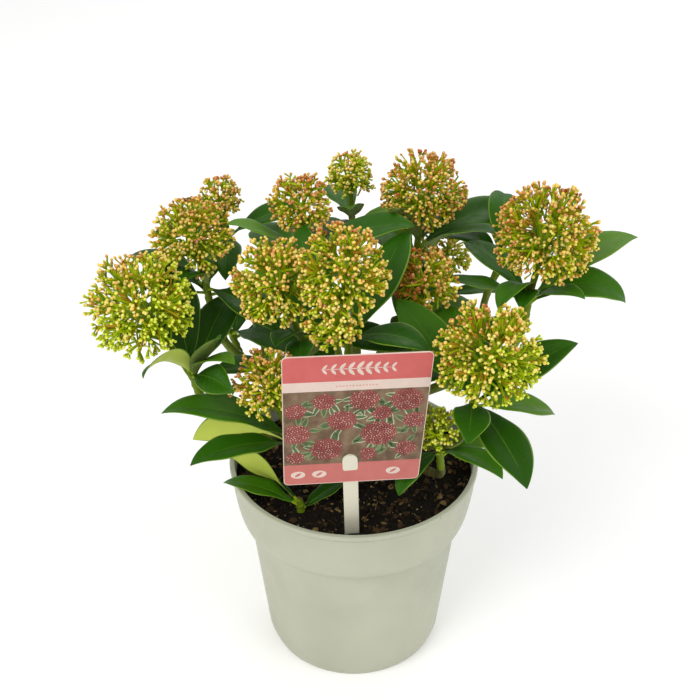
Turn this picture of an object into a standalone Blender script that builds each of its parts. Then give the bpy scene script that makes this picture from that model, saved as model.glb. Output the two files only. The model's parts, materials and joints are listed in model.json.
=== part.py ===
"""A flowering skimmia in its nursery pot, at real size.

Metres, +Z up. The origin is the centre of the pot's flat foot, and -Y is the
side that the plant's label faces. The plant is a short main stem, tapering
boughs that leave it or each other, and one shoot on each bough's tip: a twig
with a whorl of leaves under a loose flower head of budded sprays.
"""

import math
import random
from collections import namedtuple

import bmesh
import bpy
from mathutils import Matrix, Vector, noise
from mathutils.bvhtree import BVHTree

MM = 0.001
GAP = 0.3 * MM
UP = Vector((0.0, 0.0, 1.0))

# Pot, a thin moulded cup with a collar under its lip
POT_HEIGHT = 115.0 * MM
RIM_RADIUS = 65.0 * MM
LIP_HEIGHT = 2.6 * MM
LIP_EDGE = 0.6 * MM
COLLAR_TOP_RADIUS = 64.4 * MM
COLLAR_FOOT_RADIUS = 57.4 * MM
COLLAR_FOOT_HEIGHT = 82.0 * MM
COLLAR_BOW = 0.42
COLLAR_RINGS = 5
COLLAR_UNDERCUT = 0.8 * MM
BODY_TOP_RADIUS = 55.6 * MM
BODY_FOOT_RADIUS = 47.5 * MM
BODY_FOOT_HEIGHT = 7.0 * MM
BASE_RADIUS = 44.5 * MM
POT_WALL = 1.4 * MM
POT_STEPS = 36
DRAIN_RADIUS = 4.0 * MM
DRAIN_RING_RADIUS = 31.0 * MM
DRAIN_COUNT = 6

# Soil, a lumpy plug a little under the lip
SOIL_HEIGHT = 107.0 * MM
SOIL_LUMP = 1.6 * MM
SOIL_LUMP_SIZE = 14.0 * MM
LEVEL_ROUND_STEM = 10.0 * MM
SOIL_STEPS = 28
SOIL_RINGS = 4

# Label card, on a flat stick that runs up through a slot in it
CARD_CENTRE = Vector((0.2, -60.0, 181.9)) * MM
CARD_WIDTH = 68.3 * MM
CARD_HEIGHT = 74.1 * MM
CARD_FOOT_INSET = 2.0 * MM
CARD_CORNER = 2.5 * MM
CARD_THICKNESS = 0.6 * MM
CARD_YAW = math.radians(7.5)
CARD_PITCH = math.radians(2.5)
CARD_ROLL = math.radians(2.1)
CARD_SLOT_DROP = 27.5 * MM
STICK_FOOT = Vector((-1.0, -50.5, 107.0)) * MM
STICK_WIDTH = 7.2 * MM
STICK_THICKNESS = 1.2 * MM
STICK_DEPTH = 38.0 * MM
STICK_ABOVE_SLOT = 8.0 * MM

# Stems
MAIN_STEM_FOOT = Vector((2.0, 6.0, 107.3)) * MM
MAIN_STEM_TOP = Vector((-1.0, 9.0, 137.0)) * MM
MAIN_STEM_RADIUS = 5.6 * MM
MAIN_STEM_TOP_RADIUS = 4.4 * MM
MAIN_STEM_FLARE = 3.0 * MM
MAIN_STEM_FLARE_HEIGHT = 5.0 * MM
MAIN_STEM_BOW = Vector((0.6, 1.4, 0.0)) * MM
MAIN_STEM_RINGS = 7
BOUGH_RADIUS = 3.0 * MM
SIDE_BOUGH_SHARE = 0.85
SIDE_BOUGH_SLANT = 0.45
BOUGH_SWING = 0.33
BOUGH_UPTURN = 0.6
TWIG_RADIUS = 1.9 * MM
TWIG_LENGTH = 13.0 * MM
MAIN_STEM_SIDES = 8
BOUGH_SIDES = 6
BOUGH_RINGS = 8
TWIG_SIDES = 6

# Leaves and flower heads
LEAF_WIDTH_SHARE = 0.36
LEAF_THICKNESS_SHARE = 0.022
LEAF_FOLD = 0.28
LEAF_STALK_SHARE = 0.09
LEAF_STALK_WIDTH = 0.16
LEAF_STATIONS = 5
SPRAY_RADIUS_SHARE = 0.25
SPRAY_EXTRA_RADIUS = 0.8 * MM
SPRAY_REACH = math.radians(132.0)
SPRAYS_ON_LARGEST = 16
LARGEST_HEAD = 28.8
STALK_RADIUS = 0.9 * MM
CROWN_HEIGHT = 150.0 * MM
CROWN_REACH = 84.0 * MM
CROWN_FLARE = 0.45
CROWN_CENTRE_Y = 22.0 * MM
CROWN_DEPTH_SHARE = 1.3
SHORTEST_LEAF = 36.0
GOLDEN_TURN = math.pi * (3.0 - math.sqrt(5.0))
LEAF_ROLL = 18.0
LEAF_SPACING = 1.3 * MM
LEAF_VARIANTS = 12
SEED = 27

Shoot = namedtuple("Shoot", "name parent along whorl head radius fill")
Leaf = namedtuple("Leaf", "base compass rise length bend roll")

# Each shoot: the limb it leaves and how far along that, then in millimetres
# its whorl, its flower head's centre and radius, and its leaves past those shown
SHOOTS = (
    Shoot("middle", "main_stem", 1.00, (-3, -26, 204), (-5, -30, 243), 25.2, 2),
    Shoot("fore", "middle", 0.50, (-7, -35, 200), (-10, -44, 225), 15.5, 0),
    Shoot("west", "main_stem", 0.45, (-79, -20, 180), (-99, -25, 222), 28.8, 2),
    Shoot("northwest", "main_stem", 0.84, (-75, 32, 198), (-80, 30, 228), 23.8, 4),
    Shoot("north", "main_stem", 0.50, (-1, 82, 211), (-2, 85, 236), 15.8, 3),
    Shoot("east", "main_stem", 0.84, (87, 14, 203), (92, 12, 239), 27.9, 3),
    Shoot("southeast", "main_stem", 0.48, (56, -42, 180), (61, -50, 211), 28.4, 2),
    Shoot("southwest", "west", 0.28, (-30, -38, 154), (-40, -40, 188), 20.5, 2),
    Shoot("far_northwest", "northwest", 0.50, (-67, 74, 205), (-70, 75, 228), 14.7, 2),
    Shoot("mid_west", "middle", 0.40, (-26, -4, 191), (-36, -22, 233), 23.9, 1),
    Shoot("mid_north", "north", 0.55, (-27, 46, 210), (-27, 48, 237), 19.1, 2),
    Shoot("northeast", "north", 0.35, (33, 56, 209), (36, 60, 238), 24.8, 3),
    Shoot("mid_east", "east", 0.28, (33, 8, 192), (34, 7, 216), 20.0, 2),
    Shoot("low_south", "main_stem", 0.20, (42, -34, 144), (39, -42, 164), 13.3, 2),
    Shoot("back_west", "northwest", 0.30, (-28, 86, 160), (-30, 96, 186), 19.0, 6),
    Shoot("back_east", "northeast", 0.30, (48, 82, 160), (50, 92, 186), 19.0, 6),
    Shoot("low_west", "northwest", 0.62, (-66, 52, 158), None, 0.0, 6),
    Shoot("low_east", "east", 0.45, (66, 30, 156), None, 0.0, 6),
    Shoot("upper_east", "east", 0.60, (77, 46, 208), None, 0.0, 2),
    Shoot("basal", "soil", 0.00, (-27, -35, 112), None, 0.0, 0),
)

# Leaves that show from the front: compass, rise, length in millimetres, bend
SHOWN_LEAVES = {
    "west": (
        (233, 72, 57, 78), (305, 40, 42, 42), (75, 30, 62, 30),
        (310, 70, 46, 25), (316, 60, 42, 50), (108, 48, 66, 20),
    ),
    "northwest": ((142, 20, 60, 40), (252, 80, 42, 90), (215, 25, 44, 60)),
    "far_northwest": ((12, 38, 46, 40), (272, 30, 44, 60)),
    "mid_north": ((204, 50, 48, 30), (340, 42, 68, 30), (122, 8, 56, 30)),
    "mid_west": (
        (98, 50, 66, 20), (112, 37, 64, 20), (250, 59, 40, 60), (262, 46, 44, 60),
    ),
    "middle": ((254, 52, 40, 49), (326, 45, 48, 59), (57, 36, 72, 10)),
    "north": ((103, 19, 50, 40), (268, 59, 40, 40)),
    "northeast": ((217, 72, 56, 60), (21, 41, 66, 60), (315, 47, 60, 30)),
    "mid_east": ((232, 60, 38, 60), (50, 15, 44, 40)),
    "east": (
        (223, 86, 56, 110), (250, 70, 40, 90), (24, 47, 69, 49), (1, 53, 60, 99),
    ),
    "upper_east": ((138, 42, 66, 92), (88, 71, 58, 100), (105, 64, 64, 107)),
    "southeast": (
        (131, 40, 67, 14), (100, 62, 73, 52), (15, 38, 58, 18),
        (24, -4, 52, 31), (289, 9, 61, 27), (256, 35, 52, 33),
    ),
    "low_south": ((307, 41, 48, 49), (224, 32, 36, 100)),
    "southwest": ((182, 46, 68, 56), (171, 28, 52, 63), (211, 32, 57, 41)),
    "basal": ((146, 39, 47, 46), (160, 26, 44, 40), (232, 30, 27, 60), (41, 13, 32, 10)),
}

# How far some of them are rolled over, by shoot and place in its list
ROLLED_LEAVES = {
    ("west", 0): 39.0, ("west", 1): 50.0, ("east", 3): 18.0, ("southwest", 1): 102.0,
    ("basal", 0): 98.0, ("upper_east", 2): 20.0,
}

# Colour, roughness and metallic value of each material
FINISHES = {
    "pot_plastic": ((0.55, 0.60, 0.50), 0.55, 0.0),
    "soil": ((0.035, 0.024, 0.018), 0.95, 0.0),
    "card": ((0.65, 0.20, 0.18), 0.45, 0.0),
    "white_plastic": ((0.85, 0.85, 0.82), 0.45, 0.0),
    "bark": ((0.20, 0.22, 0.08), 0.75, 0.0),
    "foliage": ((0.05, 0.13, 0.03), 0.35, 0.0),
}


def clear_scene():
    """Remove whatever the scene holds."""
    for item in list(bpy.context.scene.objects):
        bpy.data.objects.remove(item, do_unlink=True)


def new_collection(name):
    """A collection under the scene's own."""
    collection = bpy.data.collections.new(name)
    bpy.context.scene.collection.children.link(collection)
    return collection


def finish(name):
    """The named material, made the first time that it is asked for."""
    material = bpy.data.materials.get(name)
    if material:
        return material
    colour, roughness, metallic = FINISHES[name]
    material = bpy.data.materials.new(name)
    material.use_nodes = True
    shader = material.node_tree.nodes["Principled BSDF"]
    shader.inputs["Base Color"].default_value = (*colour, 1.0)
    shader.inputs["Roughness"].default_value = roughness
    shader.inputs["Metallic"].default_value = metallic
    material.diffuse_color = (*colour, 1.0)
    return material


def add_object(name, data, collection, material=None):
    """An object for a mesh or a curve, in the collection."""
    item = bpy.data.objects.new(name, data)
    collection.objects.link(item)
    if material:
        data.materials.append(finish(material))
    return item


def add_cutter(name, data, collection):
    """An object that only cuts, drawn as wire and never rendered."""
    item = add_object(name, data, collection)
    item.hide_render = True
    item.display_type = "WIRE"
    return item


def mesh_from(bm, name):
    """A mesh from a finished bmesh, which is freed."""
    mesh = bpy.data.meshes.new(name)
    bm.to_mesh(mesh)
    bm.free()
    return mesh


def evaluated_mesh(item):
    """The object's mesh with its modifiers or its bevel."""
    bpy.context.view_layer.update()
    graph = bpy.context.evaluated_depsgraph_get()
    return bpy.data.meshes.new_from_object(item.evaluated_get(graph))


def weld(mesh):
    """Close the seams that a curve's caps or a turned profile leave."""
    bm = bmesh.new()
    bm.from_mesh(mesh)
    bmesh.ops.remove_doubles(bm, verts=bm.verts, dist=0.002 * MM)
    bmesh.ops.recalc_face_normals(bm, faces=bm.faces)
    bm.to_mesh(mesh)
    bm.free()
    return mesh


def largest_shell(mesh):
    """Only the mesh's largest shell: no loose scrap and no sealed hollow."""
    bm = bmesh.new()
    bm.from_mesh(mesh)
    shells = []
    left = set(bm.faces)
    while left:
        shell = {left.pop()}
        edge_of_search = list(shell)
        while edge_of_search:
            face = edge_of_search.pop()
            for edge in face.edges:
                for other in edge.link_faces:
                    if other in left:
                        left.discard(other)
                        shell.add(other)
                        edge_of_search.append(other)
        shells.append(shell)
    shells.sort(key=len)
    spare = [face for shell in shells[:-1] for face in shell]
    bmesh.ops.delete(bm, geom=spare, context="FACES")
    bm.to_mesh(mesh)
    bm.free()
    return mesh


def add_screw(item, steps):
    """Turn the object's profile once round Z."""
    screw = item.modifiers.new("Turn", "SCREW")
    screw.axis = "Z"
    screw.steps = steps
    screw.render_steps = steps
    screw.use_merge_vertices = True
    screw.merge_threshold = 0.00001
    screw.use_smooth_shade = False


def profile_object(name, points, collection, material):
    """An open chain of edges in the XZ plane, ready to be turned."""
    mesh = bpy.data.meshes.new(name)
    vertices = [(x, 0.0, z) for x, z in points]
    edges = [(i, i + 1) for i in range(len(points) - 1)]
    mesh.from_pydata(vertices, edges, [])
    return add_object(name, mesh, collection, material)


def add_cut(item, cutter):
    """Take the cutter's volume out of the object."""
    cut = item.modifiers.new("Cut", "BOOLEAN")
    cut.operation = "DIFFERENCE"
    cut.object = cutter


def collar_profile():
    """The collar's outer line from its foot to under the lip, bowed outward."""
    top = POT_HEIGHT - LIP_HEIGHT - LIP_EDGE
    points = []
    for ring in range(COLLAR_RINGS):
        share = ring / (COLLAR_RINGS - 1.0)
        radius = COLLAR_FOOT_RADIUS + share ** COLLAR_BOW * (COLLAR_TOP_RADIUS - COLLAR_FOOT_RADIUS)
        points.append((radius, COLLAR_FOOT_HEIGHT + share * (top - COLLAR_FOOT_HEIGHT)))
    return points


def build_pot(parts, cutters):
    """The pot: foot, tapering body, collar with a step under it, and lip."""
    inside_step = 2.0 * POT_WALL
    points = [
        (0.0, POT_WALL),
        (BASE_RADIUS - POT_WALL, POT_WALL),
        (BODY_FOOT_RADIUS - POT_WALL, BODY_FOOT_HEIGHT),
        (BODY_TOP_RADIUS - POT_WALL, COLLAR_FOOT_HEIGHT + POT_WALL),
    ]
    for radius, height in collar_profile()[:-1]:
        points.append((radius - POT_WALL, height + inside_step))
    points.append((RIM_RADIUS - 2.0 * POT_WALL, POT_HEIGHT))
    points.append((RIM_RADIUS - LIP_EDGE, POT_HEIGHT))
    points.append((RIM_RADIUS, POT_HEIGHT - LIP_EDGE))
    points.append((RIM_RADIUS, POT_HEIGHT - LIP_HEIGHT))
    points.extend(reversed(collar_profile()))
    points.append((BODY_TOP_RADIUS, COLLAR_FOOT_HEIGHT - COLLAR_UNDERCUT))
    points.append((BODY_FOOT_RADIUS, BODY_FOOT_HEIGHT))
    points.append((BASE_RADIUS, 0.0))
    points.append((0.0, 0.0))
    pot = profile_object("pot", points, parts, "pot_plastic")
    add_screw(pot, POT_STEPS)
    drains = bmesh.new()
    for index in range(DRAIN_COUNT):
        angle = 2.0 * math.pi * (index + 0.5) / DRAIN_COUNT
        place = Vector((math.cos(angle), math.sin(angle), 0.0)) * DRAIN_RING_RADIUS
        bmesh.ops.create_cone(
            drains, cap_ends=True, segments=10, radius1=DRAIN_RADIUS,
            radius2=DRAIN_RADIUS, depth=6.0 * POT_WALL, matrix=Matrix.Translation(place),
        )
    add_cut(pot, add_cutter("drain_holes", mesh_from(drains, "drain_holes"), cutters))
    return pot


def soil_height(x, y):
    """The soil's height: hollowed in lumps below the level that the stems stand on."""
    here = Vector((x, y, 0.0))
    feet = (MAIN_STEM_FOOT, twig_start(SHOOTS[-1]))
    away = min((here - Vector((foot.x, foot.y, 0.0))).length for foot in feet)
    hollow = min(1.0, max(0.0, away / LEVEL_ROUND_STEM - 1.0))
    return SOIL_HEIGHT - hollow * SOIL_LUMP * (1.0 + noise.noise(here / SOIL_LUMP_SIZE))


def build_soil(parts, cutters):
    """The plug of soil, clear of the pot all round, with the stick's slot in it."""
    floor = POT_WALL + GAP
    foot = BODY_FOOT_HEIGHT + GAP
    step = COLLAR_FOOT_HEIGHT + 1.5 * MM
    edge = COLLAR_TOP_RADIUS - 2.0 * POT_WALL
    points = [(edge * ring / SOIL_RINGS, SOIL_HEIGHT) for ring in range(SOIL_RINGS + 1)]
    points.append((BODY_TOP_RADIUS - POT_WALL - 2.0 * GAP, step))
    points.append((BODY_FOOT_RADIUS - POT_WALL - 2.0 * GAP, foot))
    points.append((BASE_RADIUS - POT_WALL - 2.0 * GAP, floor))
    points.append((0.0, floor))
    turned = profile_object("soil_turned", points, parts, "soil")
    add_screw(turned, SOIL_STEPS)
    mesh = weld(evaluated_mesh(turned))
    bpy.data.objects.remove(turned)
    for vertex in mesh.vertices:
        if vertex.co.z > SOIL_HEIGHT - 1.0 * MM:
            vertex.co.z = soil_height(vertex.co.x, vertex.co.y)
    mesh.name = "soil"
    soil = add_object("soil", mesh, parts)
    add_cut(soil, stick_solid("stick_pocket", GAP, cutters))
    return soil


def card_frame():
    """The card's place: across it X, through it Y, up it Z."""
    turn = Matrix.Rotation(CARD_YAW, 4, "Z")
    turn = turn @ Matrix.Rotation(CARD_PITCH, 4, "X") @ Matrix.Rotation(CARD_ROLL, 4, "Y")
    return Matrix.Translation(CARD_CENTRE) @ turn


def stick_frame():
    """The stick's axis, from its foot up through the card's slot, and its length."""
    slot = card_frame() @ Vector((-1.0 * MM, 0.0, -CARD_SLOT_DROP))
    rise = (slot - STICK_FOOT).normalized()
    foot = STICK_FOOT - rise * STICK_DEPTH
    tip = slot + rise * STICK_ABOVE_SLOT
    across = Matrix.Rotation(CARD_YAW, 4, "Z") @ Vector((1.0, 0.0, 0.0))
    across = (across - rise * across.dot(rise)).normalized()
    frame = Matrix((across, rise.cross(across), rise)).transposed().to_4x4()
    frame.translation = (foot + tip) / 2.0
    return frame, (tip - foot).length


def stick_solid(name, swell, cutters=None, parts=None):
    """The flat stick with its rounded head, or that swollen as a cutter."""
    frame, length = stick_frame()
    outline = bpy.data.curves.new(name, "CURVE")
    outline.dimensions = "2D"
    outline.fill_mode = "BOTH"
    outline.extrude = STICK_THICKNESS / 2.0 + swell
    half = STICK_WIDTH / 2.0 + swell
    bottom = -length / 2.0 - swell
    shoulder = length / 2.0 + swell - half
    corners = [(-half, bottom), (half, bottom)]
    for step in range(7):
        angle = math.pi * step / 6.0
        corners.append((half * math.cos(angle), shoulder + half * math.sin(angle)))
    add_spline(outline, corners)
    flat = add_object(name + "_outline", outline, parts or cutters)
    mesh = weld(evaluated_mesh(flat))
    bpy.data.objects.remove(flat)
    mesh.transform(Matrix.Rotation(math.pi / 2.0, 4, "X"))
    if parts:
        stick = add_object(name, mesh, parts, "white_plastic")
    else:
        stick = add_cutter(name, mesh, cutters)
    stick.matrix_world = frame
    return stick


def add_spline(curve, corners):
    """A closed polyline on a flat curve."""
    spline = curve.splines.new("POLY")
    spline.points.add(len(corners) - 1)
    for point, (x, y) in zip(spline.points, corners):
        point.co = (x, y, 0.0, 1.0)
    spline.use_cyclic_u = True


def build_card(parts, cutters):
    """The label card: a thin plate with round corners and a slot for the stick."""
    outline = bpy.data.curves.new("label_card", "CURVE")
    outline.dimensions = "2D"
    outline.fill_mode = "BOTH"
    outline.extrude = CARD_THICKNESS / 2.0
    corners = []
    for quarter, (side, end) in enumerate(((1, 1), (-1, 1), (-1, -1), (1, -1))):
        inset = CARD_FOOT_INSET if end < 0 else 0.0
        centre_x = side * (CARD_WIDTH / 2.0 - inset - CARD_CORNER)
        centre_y = end * (CARD_HEIGHT / 2.0 - CARD_CORNER)
        for step in range(4):
            angle = math.pi / 2.0 * (quarter + step / 3.0)
            x = centre_x + CARD_CORNER * math.cos(angle)
            corners.append((x, centre_y + CARD_CORNER * math.sin(angle)))
    add_spline(outline, corners)
    flat = add_object("card_outline", outline, parts)
    mesh = weld(evaluated_mesh(flat))
    bpy.data.objects.remove(flat)
    mesh.transform(Matrix.Rotation(math.pi / 2.0, 4, "X"))
    card = add_object("label_card", mesh, parts, "card")
    card.matrix_world = card_frame()
    add_cut(card, stick_solid("card_slot", GAP, cutters))
    return card


def bezier_points(start, start_handle, end_handle, end, count):
    """Points along a cubic curve."""
    points = []
    for index in range(count):
        t = index / (count - 1.0)
        s = 1.0 - t
        point = start * s ** 3 + start_handle * 3.0 * s * s * t
        points.append(point + end_handle * 3.0 * s * t * t + end * t ** 3)
    return points


def tube_mesh(name, points, radii, sides):
    """A bar of the given sides and radii along the points, with closed ends."""
    ring = bpy.data.curves.new(name + "_ring", "CURVE")
    ring.dimensions = "2D"
    turns = [2.0 * math.pi * side / sides for side in range(sides)]
    add_spline(ring, [(math.cos(turn), math.sin(turn)) for turn in turns])
    ring_object = bpy.data.objects.new(name + "_ring", ring)
    curve = bpy.data.curves.new(name, "CURVE")
    curve.dimensions = "3D"
    curve.bevel_mode = "OBJECT"
    curve.bevel_object = ring_object
    curve.use_fill_caps = True
    spline = curve.splines.new("POLY")
    spline.points.add(len(points) - 1)
    for place, point, radius in zip(spline.points, points, radii):
        place.co = (*point, 1.0)
        place.radius = radius
    bar = bpy.data.objects.new(name, curve)
    bpy.context.scene.collection.objects.link(ring_object)
    bpy.context.scene.collection.objects.link(bar)
    mesh = weld(evaluated_mesh(bar))
    bpy.data.objects.remove(bar)
    bpy.data.objects.remove(ring_object)
    return mesh


def growth_direction(shoot):
    """The way a shoot's twig points: up, and toward its flower head."""
    if not shoot.head:
        out = Vector((shoot.whorl[0], shoot.whorl[1], 0.0))
        return (UP + 0.5 * out.normalized()).normalized()
    toward = Vector(shoot.head) - Vector(shoot.whorl)
    return (UP * 0.6 + toward.normalized()).normalized()


def twig_start(shoot):
    """Where a shoot's twig begins: on the soil, or at its bough's tip."""
    if shoot.parent == "soil":
        return Vector((shoot.whorl[0] * MM, shoot.whorl[1] * MM, SOIL_HEIGHT + GAP))
    return Vector(shoot.whorl) * MM - growth_direction(shoot) * TWIG_LENGTH


def main_stem_line():
    """Points and radii of the main stem, with the flare at its foot."""
    points = []
    radii = []
    for index in range(MAIN_STEM_RINGS):
        t = (index / (MAIN_STEM_RINGS - 1.0)) ** 1.4
        point = MAIN_STEM_FOOT.lerp(MAIN_STEM_TOP, t) + MAIN_STEM_BOW * math.sin(math.pi * t)
        if index == 1:
            point = MAIN_STEM_FOOT + UP * (point.z - MAIN_STEM_FOOT.z)
        points.append(point)
        height = point.z - MAIN_STEM_FOOT.z
        radius = MAIN_STEM_RADIUS + t * (MAIN_STEM_TOP_RADIUS - MAIN_STEM_RADIUS)
        radii.append(radius + MAIN_STEM_FLARE * math.exp(-height / MAIN_STEM_FLARE_HEIGHT))
    return points, radii


def point_along(line, share):
    """Place, direction and radius at a share of the way along a limb's line."""
    points, radii = line
    place = share * (len(points) - 1)
    index = min(int(place), len(points) - 2)
    step = points[index + 1] - points[index]
    radius = radii[index] + (radii[index + 1] - radii[index]) * (place - index)
    return points[index] + step * (place - index), step.normalized(), radius


def bough_line(shoot, lines):
    """Points and radii of the bough that carries a shoot."""
    start, parent_way, parent_radius = point_along(lines[shoot.parent], shoot.along)
    grow = growth_direction(shoot)
    end = twig_start(shoot) - grow * GAP
    base = min(BOUGH_RADIUS, SIDE_BOUGH_SHARE * parent_radius)
    if shoot.along == 1.0:
        start = start + parent_way * GAP
        leave = parent_way
        base = MAIN_STEM_TOP_RADIUS - 0.4 * MM
    else:
        out = end - start
        out = (out - parent_way * out.dot(parent_way)).normalized()
        leave = (out + SIDE_BOUGH_SLANT * parent_way).normalized()
    first = start + leave * 2.0 * TWIG_RADIUS
    last = end - grow * 2.0 * TWIG_RADIUS
    swing = BOUGH_SWING * (last - first).length
    upturn = min(swing, max(0.25 * swing, BOUGH_UPTURN * (last.z - first.z)))
    points = bezier_points(
        first, first + leave * swing, last - grow * upturn, last, BOUGH_RINGS - 2,
    )
    points = [start, *points, end]
    shares = [ring / (BOUGH_RINGS - 1.0) for ring in range(BOUGH_RINGS)]
    return points, [base + (TWIG_RADIUS - base) * share ** 0.8 for share in shares]


def swollen_tube(name, line, swell, sides, cutters):
    """A limb's own tube, thicker by the gap, to cut the limbs that leave it."""
    points, radii = line
    mesh = tube_mesh(name, points, [radius + swell for radius in radii], sides)
    return add_cutter(name, mesh, cutters)


def build_limbs(parts, cutters):
    """The main stem and the boughs, each cut clear of the limb that it leaves."""
    lines = {"main_stem": main_stem_line()}
    mesh = tube_mesh("main_stem", *lines["main_stem"], MAIN_STEM_SIDES)
    limbs = [add_object("main_stem", mesh, parts, "bark")]
    for shoot in SHOOTS:
        if shoot.parent == "soil":
            continue
        lines[shoot.name] = bough_line(shoot, lines)
        name = "bough_" + shoot.name
        mesh = tube_mesh(name, *lines[shoot.name], BOUGH_SIDES)
        bough = add_object(name, mesh, parts, "bark")
        if shoot.along < 1.0:
            cutter_name = "clear_" + shoot.parent
            cutter = cutters.objects.get(cutter_name)
            if not cutter:
                sides = MAIN_STEM_SIDES if shoot.parent == "main_stem" else BOUGH_SIDES
                line = lines[shoot.parent]
                cutter = swollen_tube(cutter_name, line, 1.3 * GAP, sides, cutters)
            add_cut(bough, cutter)
        limbs.append(bough)
    return limbs


def leaf_outline(share):
    """Half the leaf's width at a share of its length, one at the widest."""
    if share < LEAF_STALK_SHARE:
        return LEAF_STALK_WIDTH
    blade = (share - LEAF_STALK_SHARE) / (1.0 - LEAF_STALK_SHARE)
    shape = math.sin(math.pi * blade ** 1.12) ** 0.85
    return max(LEAF_STALK_WIDTH * (1.0 - blade), shape)


def leaf_frame(leaf, share):
    """The midrib's place at a share of the leaf's length, with side and normal."""
    compass = math.radians(leaf.compass)
    rise = math.radians(leaf.rise)
    bend = math.radians(max(leaf.bend, 1.0))
    now = rise - bend * share
    out = leaf.length * MM / bend * (math.sin(rise) - math.sin(now))
    height = leaf.length * MM / bend * (math.cos(now) - math.cos(rise))
    ahead = Vector((math.cos(compass), math.sin(compass), 0.0))
    side = Vector((-math.sin(compass), math.cos(compass), 0.0))
    along = ahead * math.cos(now) + UP * math.sin(now)
    turned = math.radians(leaf.roll) * share * (2.0 - share)
    turn = Matrix.Rotation(turned, 3, along)
    normal = turn @ (UP * math.cos(now) - ahead * math.sin(now))
    return leaf.base + ahead * out + UP * height, turn @ side, normal


def leaf_solid(leaf, first=0.0, swell=0.0):
    """A blade: a ball of four meridians drawn out to the leaf's outline."""
    bm = bmesh.new()
    bmesh.ops.create_uvsphere(bm, u_segments=4, v_segments=LEAF_STATIONS, radius=1.0)
    half = leaf.length * MM * LEAF_WIDTH_SHARE / 2.0
    thick = leaf.length * MM * LEAF_THICKNESS_SHARE / 2.0 + swell
    for vertex in bm.verts:
        share = first + (1.0 - first) * (1.0 - vertex.co.z) / 2.0
        place, side, normal = leaf_frame(leaf, share)
        around = math.hypot(vertex.co.x, vertex.co.y)
        if around < 0.001:
            vertex.co = place
            continue
        across = -vertex.co.x / around
        above = vertex.co.y / around
        width = leaf_outline(share) * half + swell
        lift = LEAF_FOLD * abs(across) * width + thick * above
        vertex.co = place + side * across * width + normal * lift
    return bm


def spray_solid(centre, radius, swell=0.0):
    """A knot of buds: a small ball of twenty faces."""
    bm = bmesh.new()
    turn = Matrix.Translation(centre) @ Matrix.Rotation(centre.x * 900.0, 4, "Z")
    bmesh.ops.create_icosphere(bm, subdivisions=1, radius=radius + swell, matrix=turn)
    return bm


def stalk_solid(start, end, radius, swell=0.0):
    """A straight three-sided stalk, thinner at its end."""
    bm = bmesh.new()
    way = end - start
    turn = way.to_track_quat("Z", "Y").to_matrix().to_4x4()
    place = Matrix.Translation((start + end) / 2.0) @ turn
    bmesh.ops.create_cone(
        bm, cap_ends=True, segments=3, radius1=radius + swell,
        radius2=0.7 * radius + swell, depth=way.length, matrix=place,
    )
    return bm


class Crown:
    """What has been placed so far, to keep each shoot in its own space."""

    def __init__(self, fixed):
        graph = bpy.context.evaluated_depsgraph_get()
        self.trees = []
        for item in fixed:
            bm = bmesh.new()
            bm.from_object(item, graph)
            bm.transform(item.matrix_world)
            self.trees.append(("fixed", "limb", BVHTree.FromBMesh(bm)))
            bm.free()
        self.pieces = {shoot.name: [] for shoot in SHOOTS}

    def is_clear(self, owner, bm):
        """Whether the swollen piece stays off every other shoot and limb."""
        tree = BVHTree.FromBMesh(bm)
        bm.free()
        return not any(name != owner and tree.overlap(other) for name, _, other in self.trees)

    def is_apart(self, owner, bm):
        """Whether a leaf's blade stays off its own shoot's leaves and sprays."""
        tree = BVHTree.FromBMesh(bm)
        bm.free()
        return not any(
            name == owner and kind != "twig" and tree.overlap(other)
            for name, kind, other in self.trees
        )

    def keep(self, owner, kind, bm):
        """Add a piece to its shoot."""
        bmesh.ops.triangulate(bm, faces=bm.faces)
        self.trees.append((owner, kind, BVHTree.FromBMesh(bm)))
        self.pieces[owner].append(mesh_from(bm, owner + "_" + kind))


def dice_for(owner, item):
    """The dice for one leaf or flower head, the same on every run."""
    return random.Random(f"{SEED} {owner} {item}")


def grow_twig(crown, shoot):
    """The shoot's stem, from its bough's tip through the whorl into the head."""
    whorl = Vector(shoot.whorl) * MM
    points = [twig_start(shoot), whorl]
    radii = [TWIG_RADIUS, 0.9 * TWIG_RADIUS]
    if shoot.head:
        centre = Vector(shoot.head) * MM
        points.append(whorl.lerp(centre, 0.55))
        points.append(centre)
        radii.extend((0.7 * TWIG_RADIUS, 0.5 * TWIG_RADIUS))
    mesh = tube_mesh("twig_" + shoot.name, points, radii, TWIG_SIDES)
    bm = bmesh.new()
    bm.from_mesh(mesh)
    crown.keep(shoot.name, "twig", bm)


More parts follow.
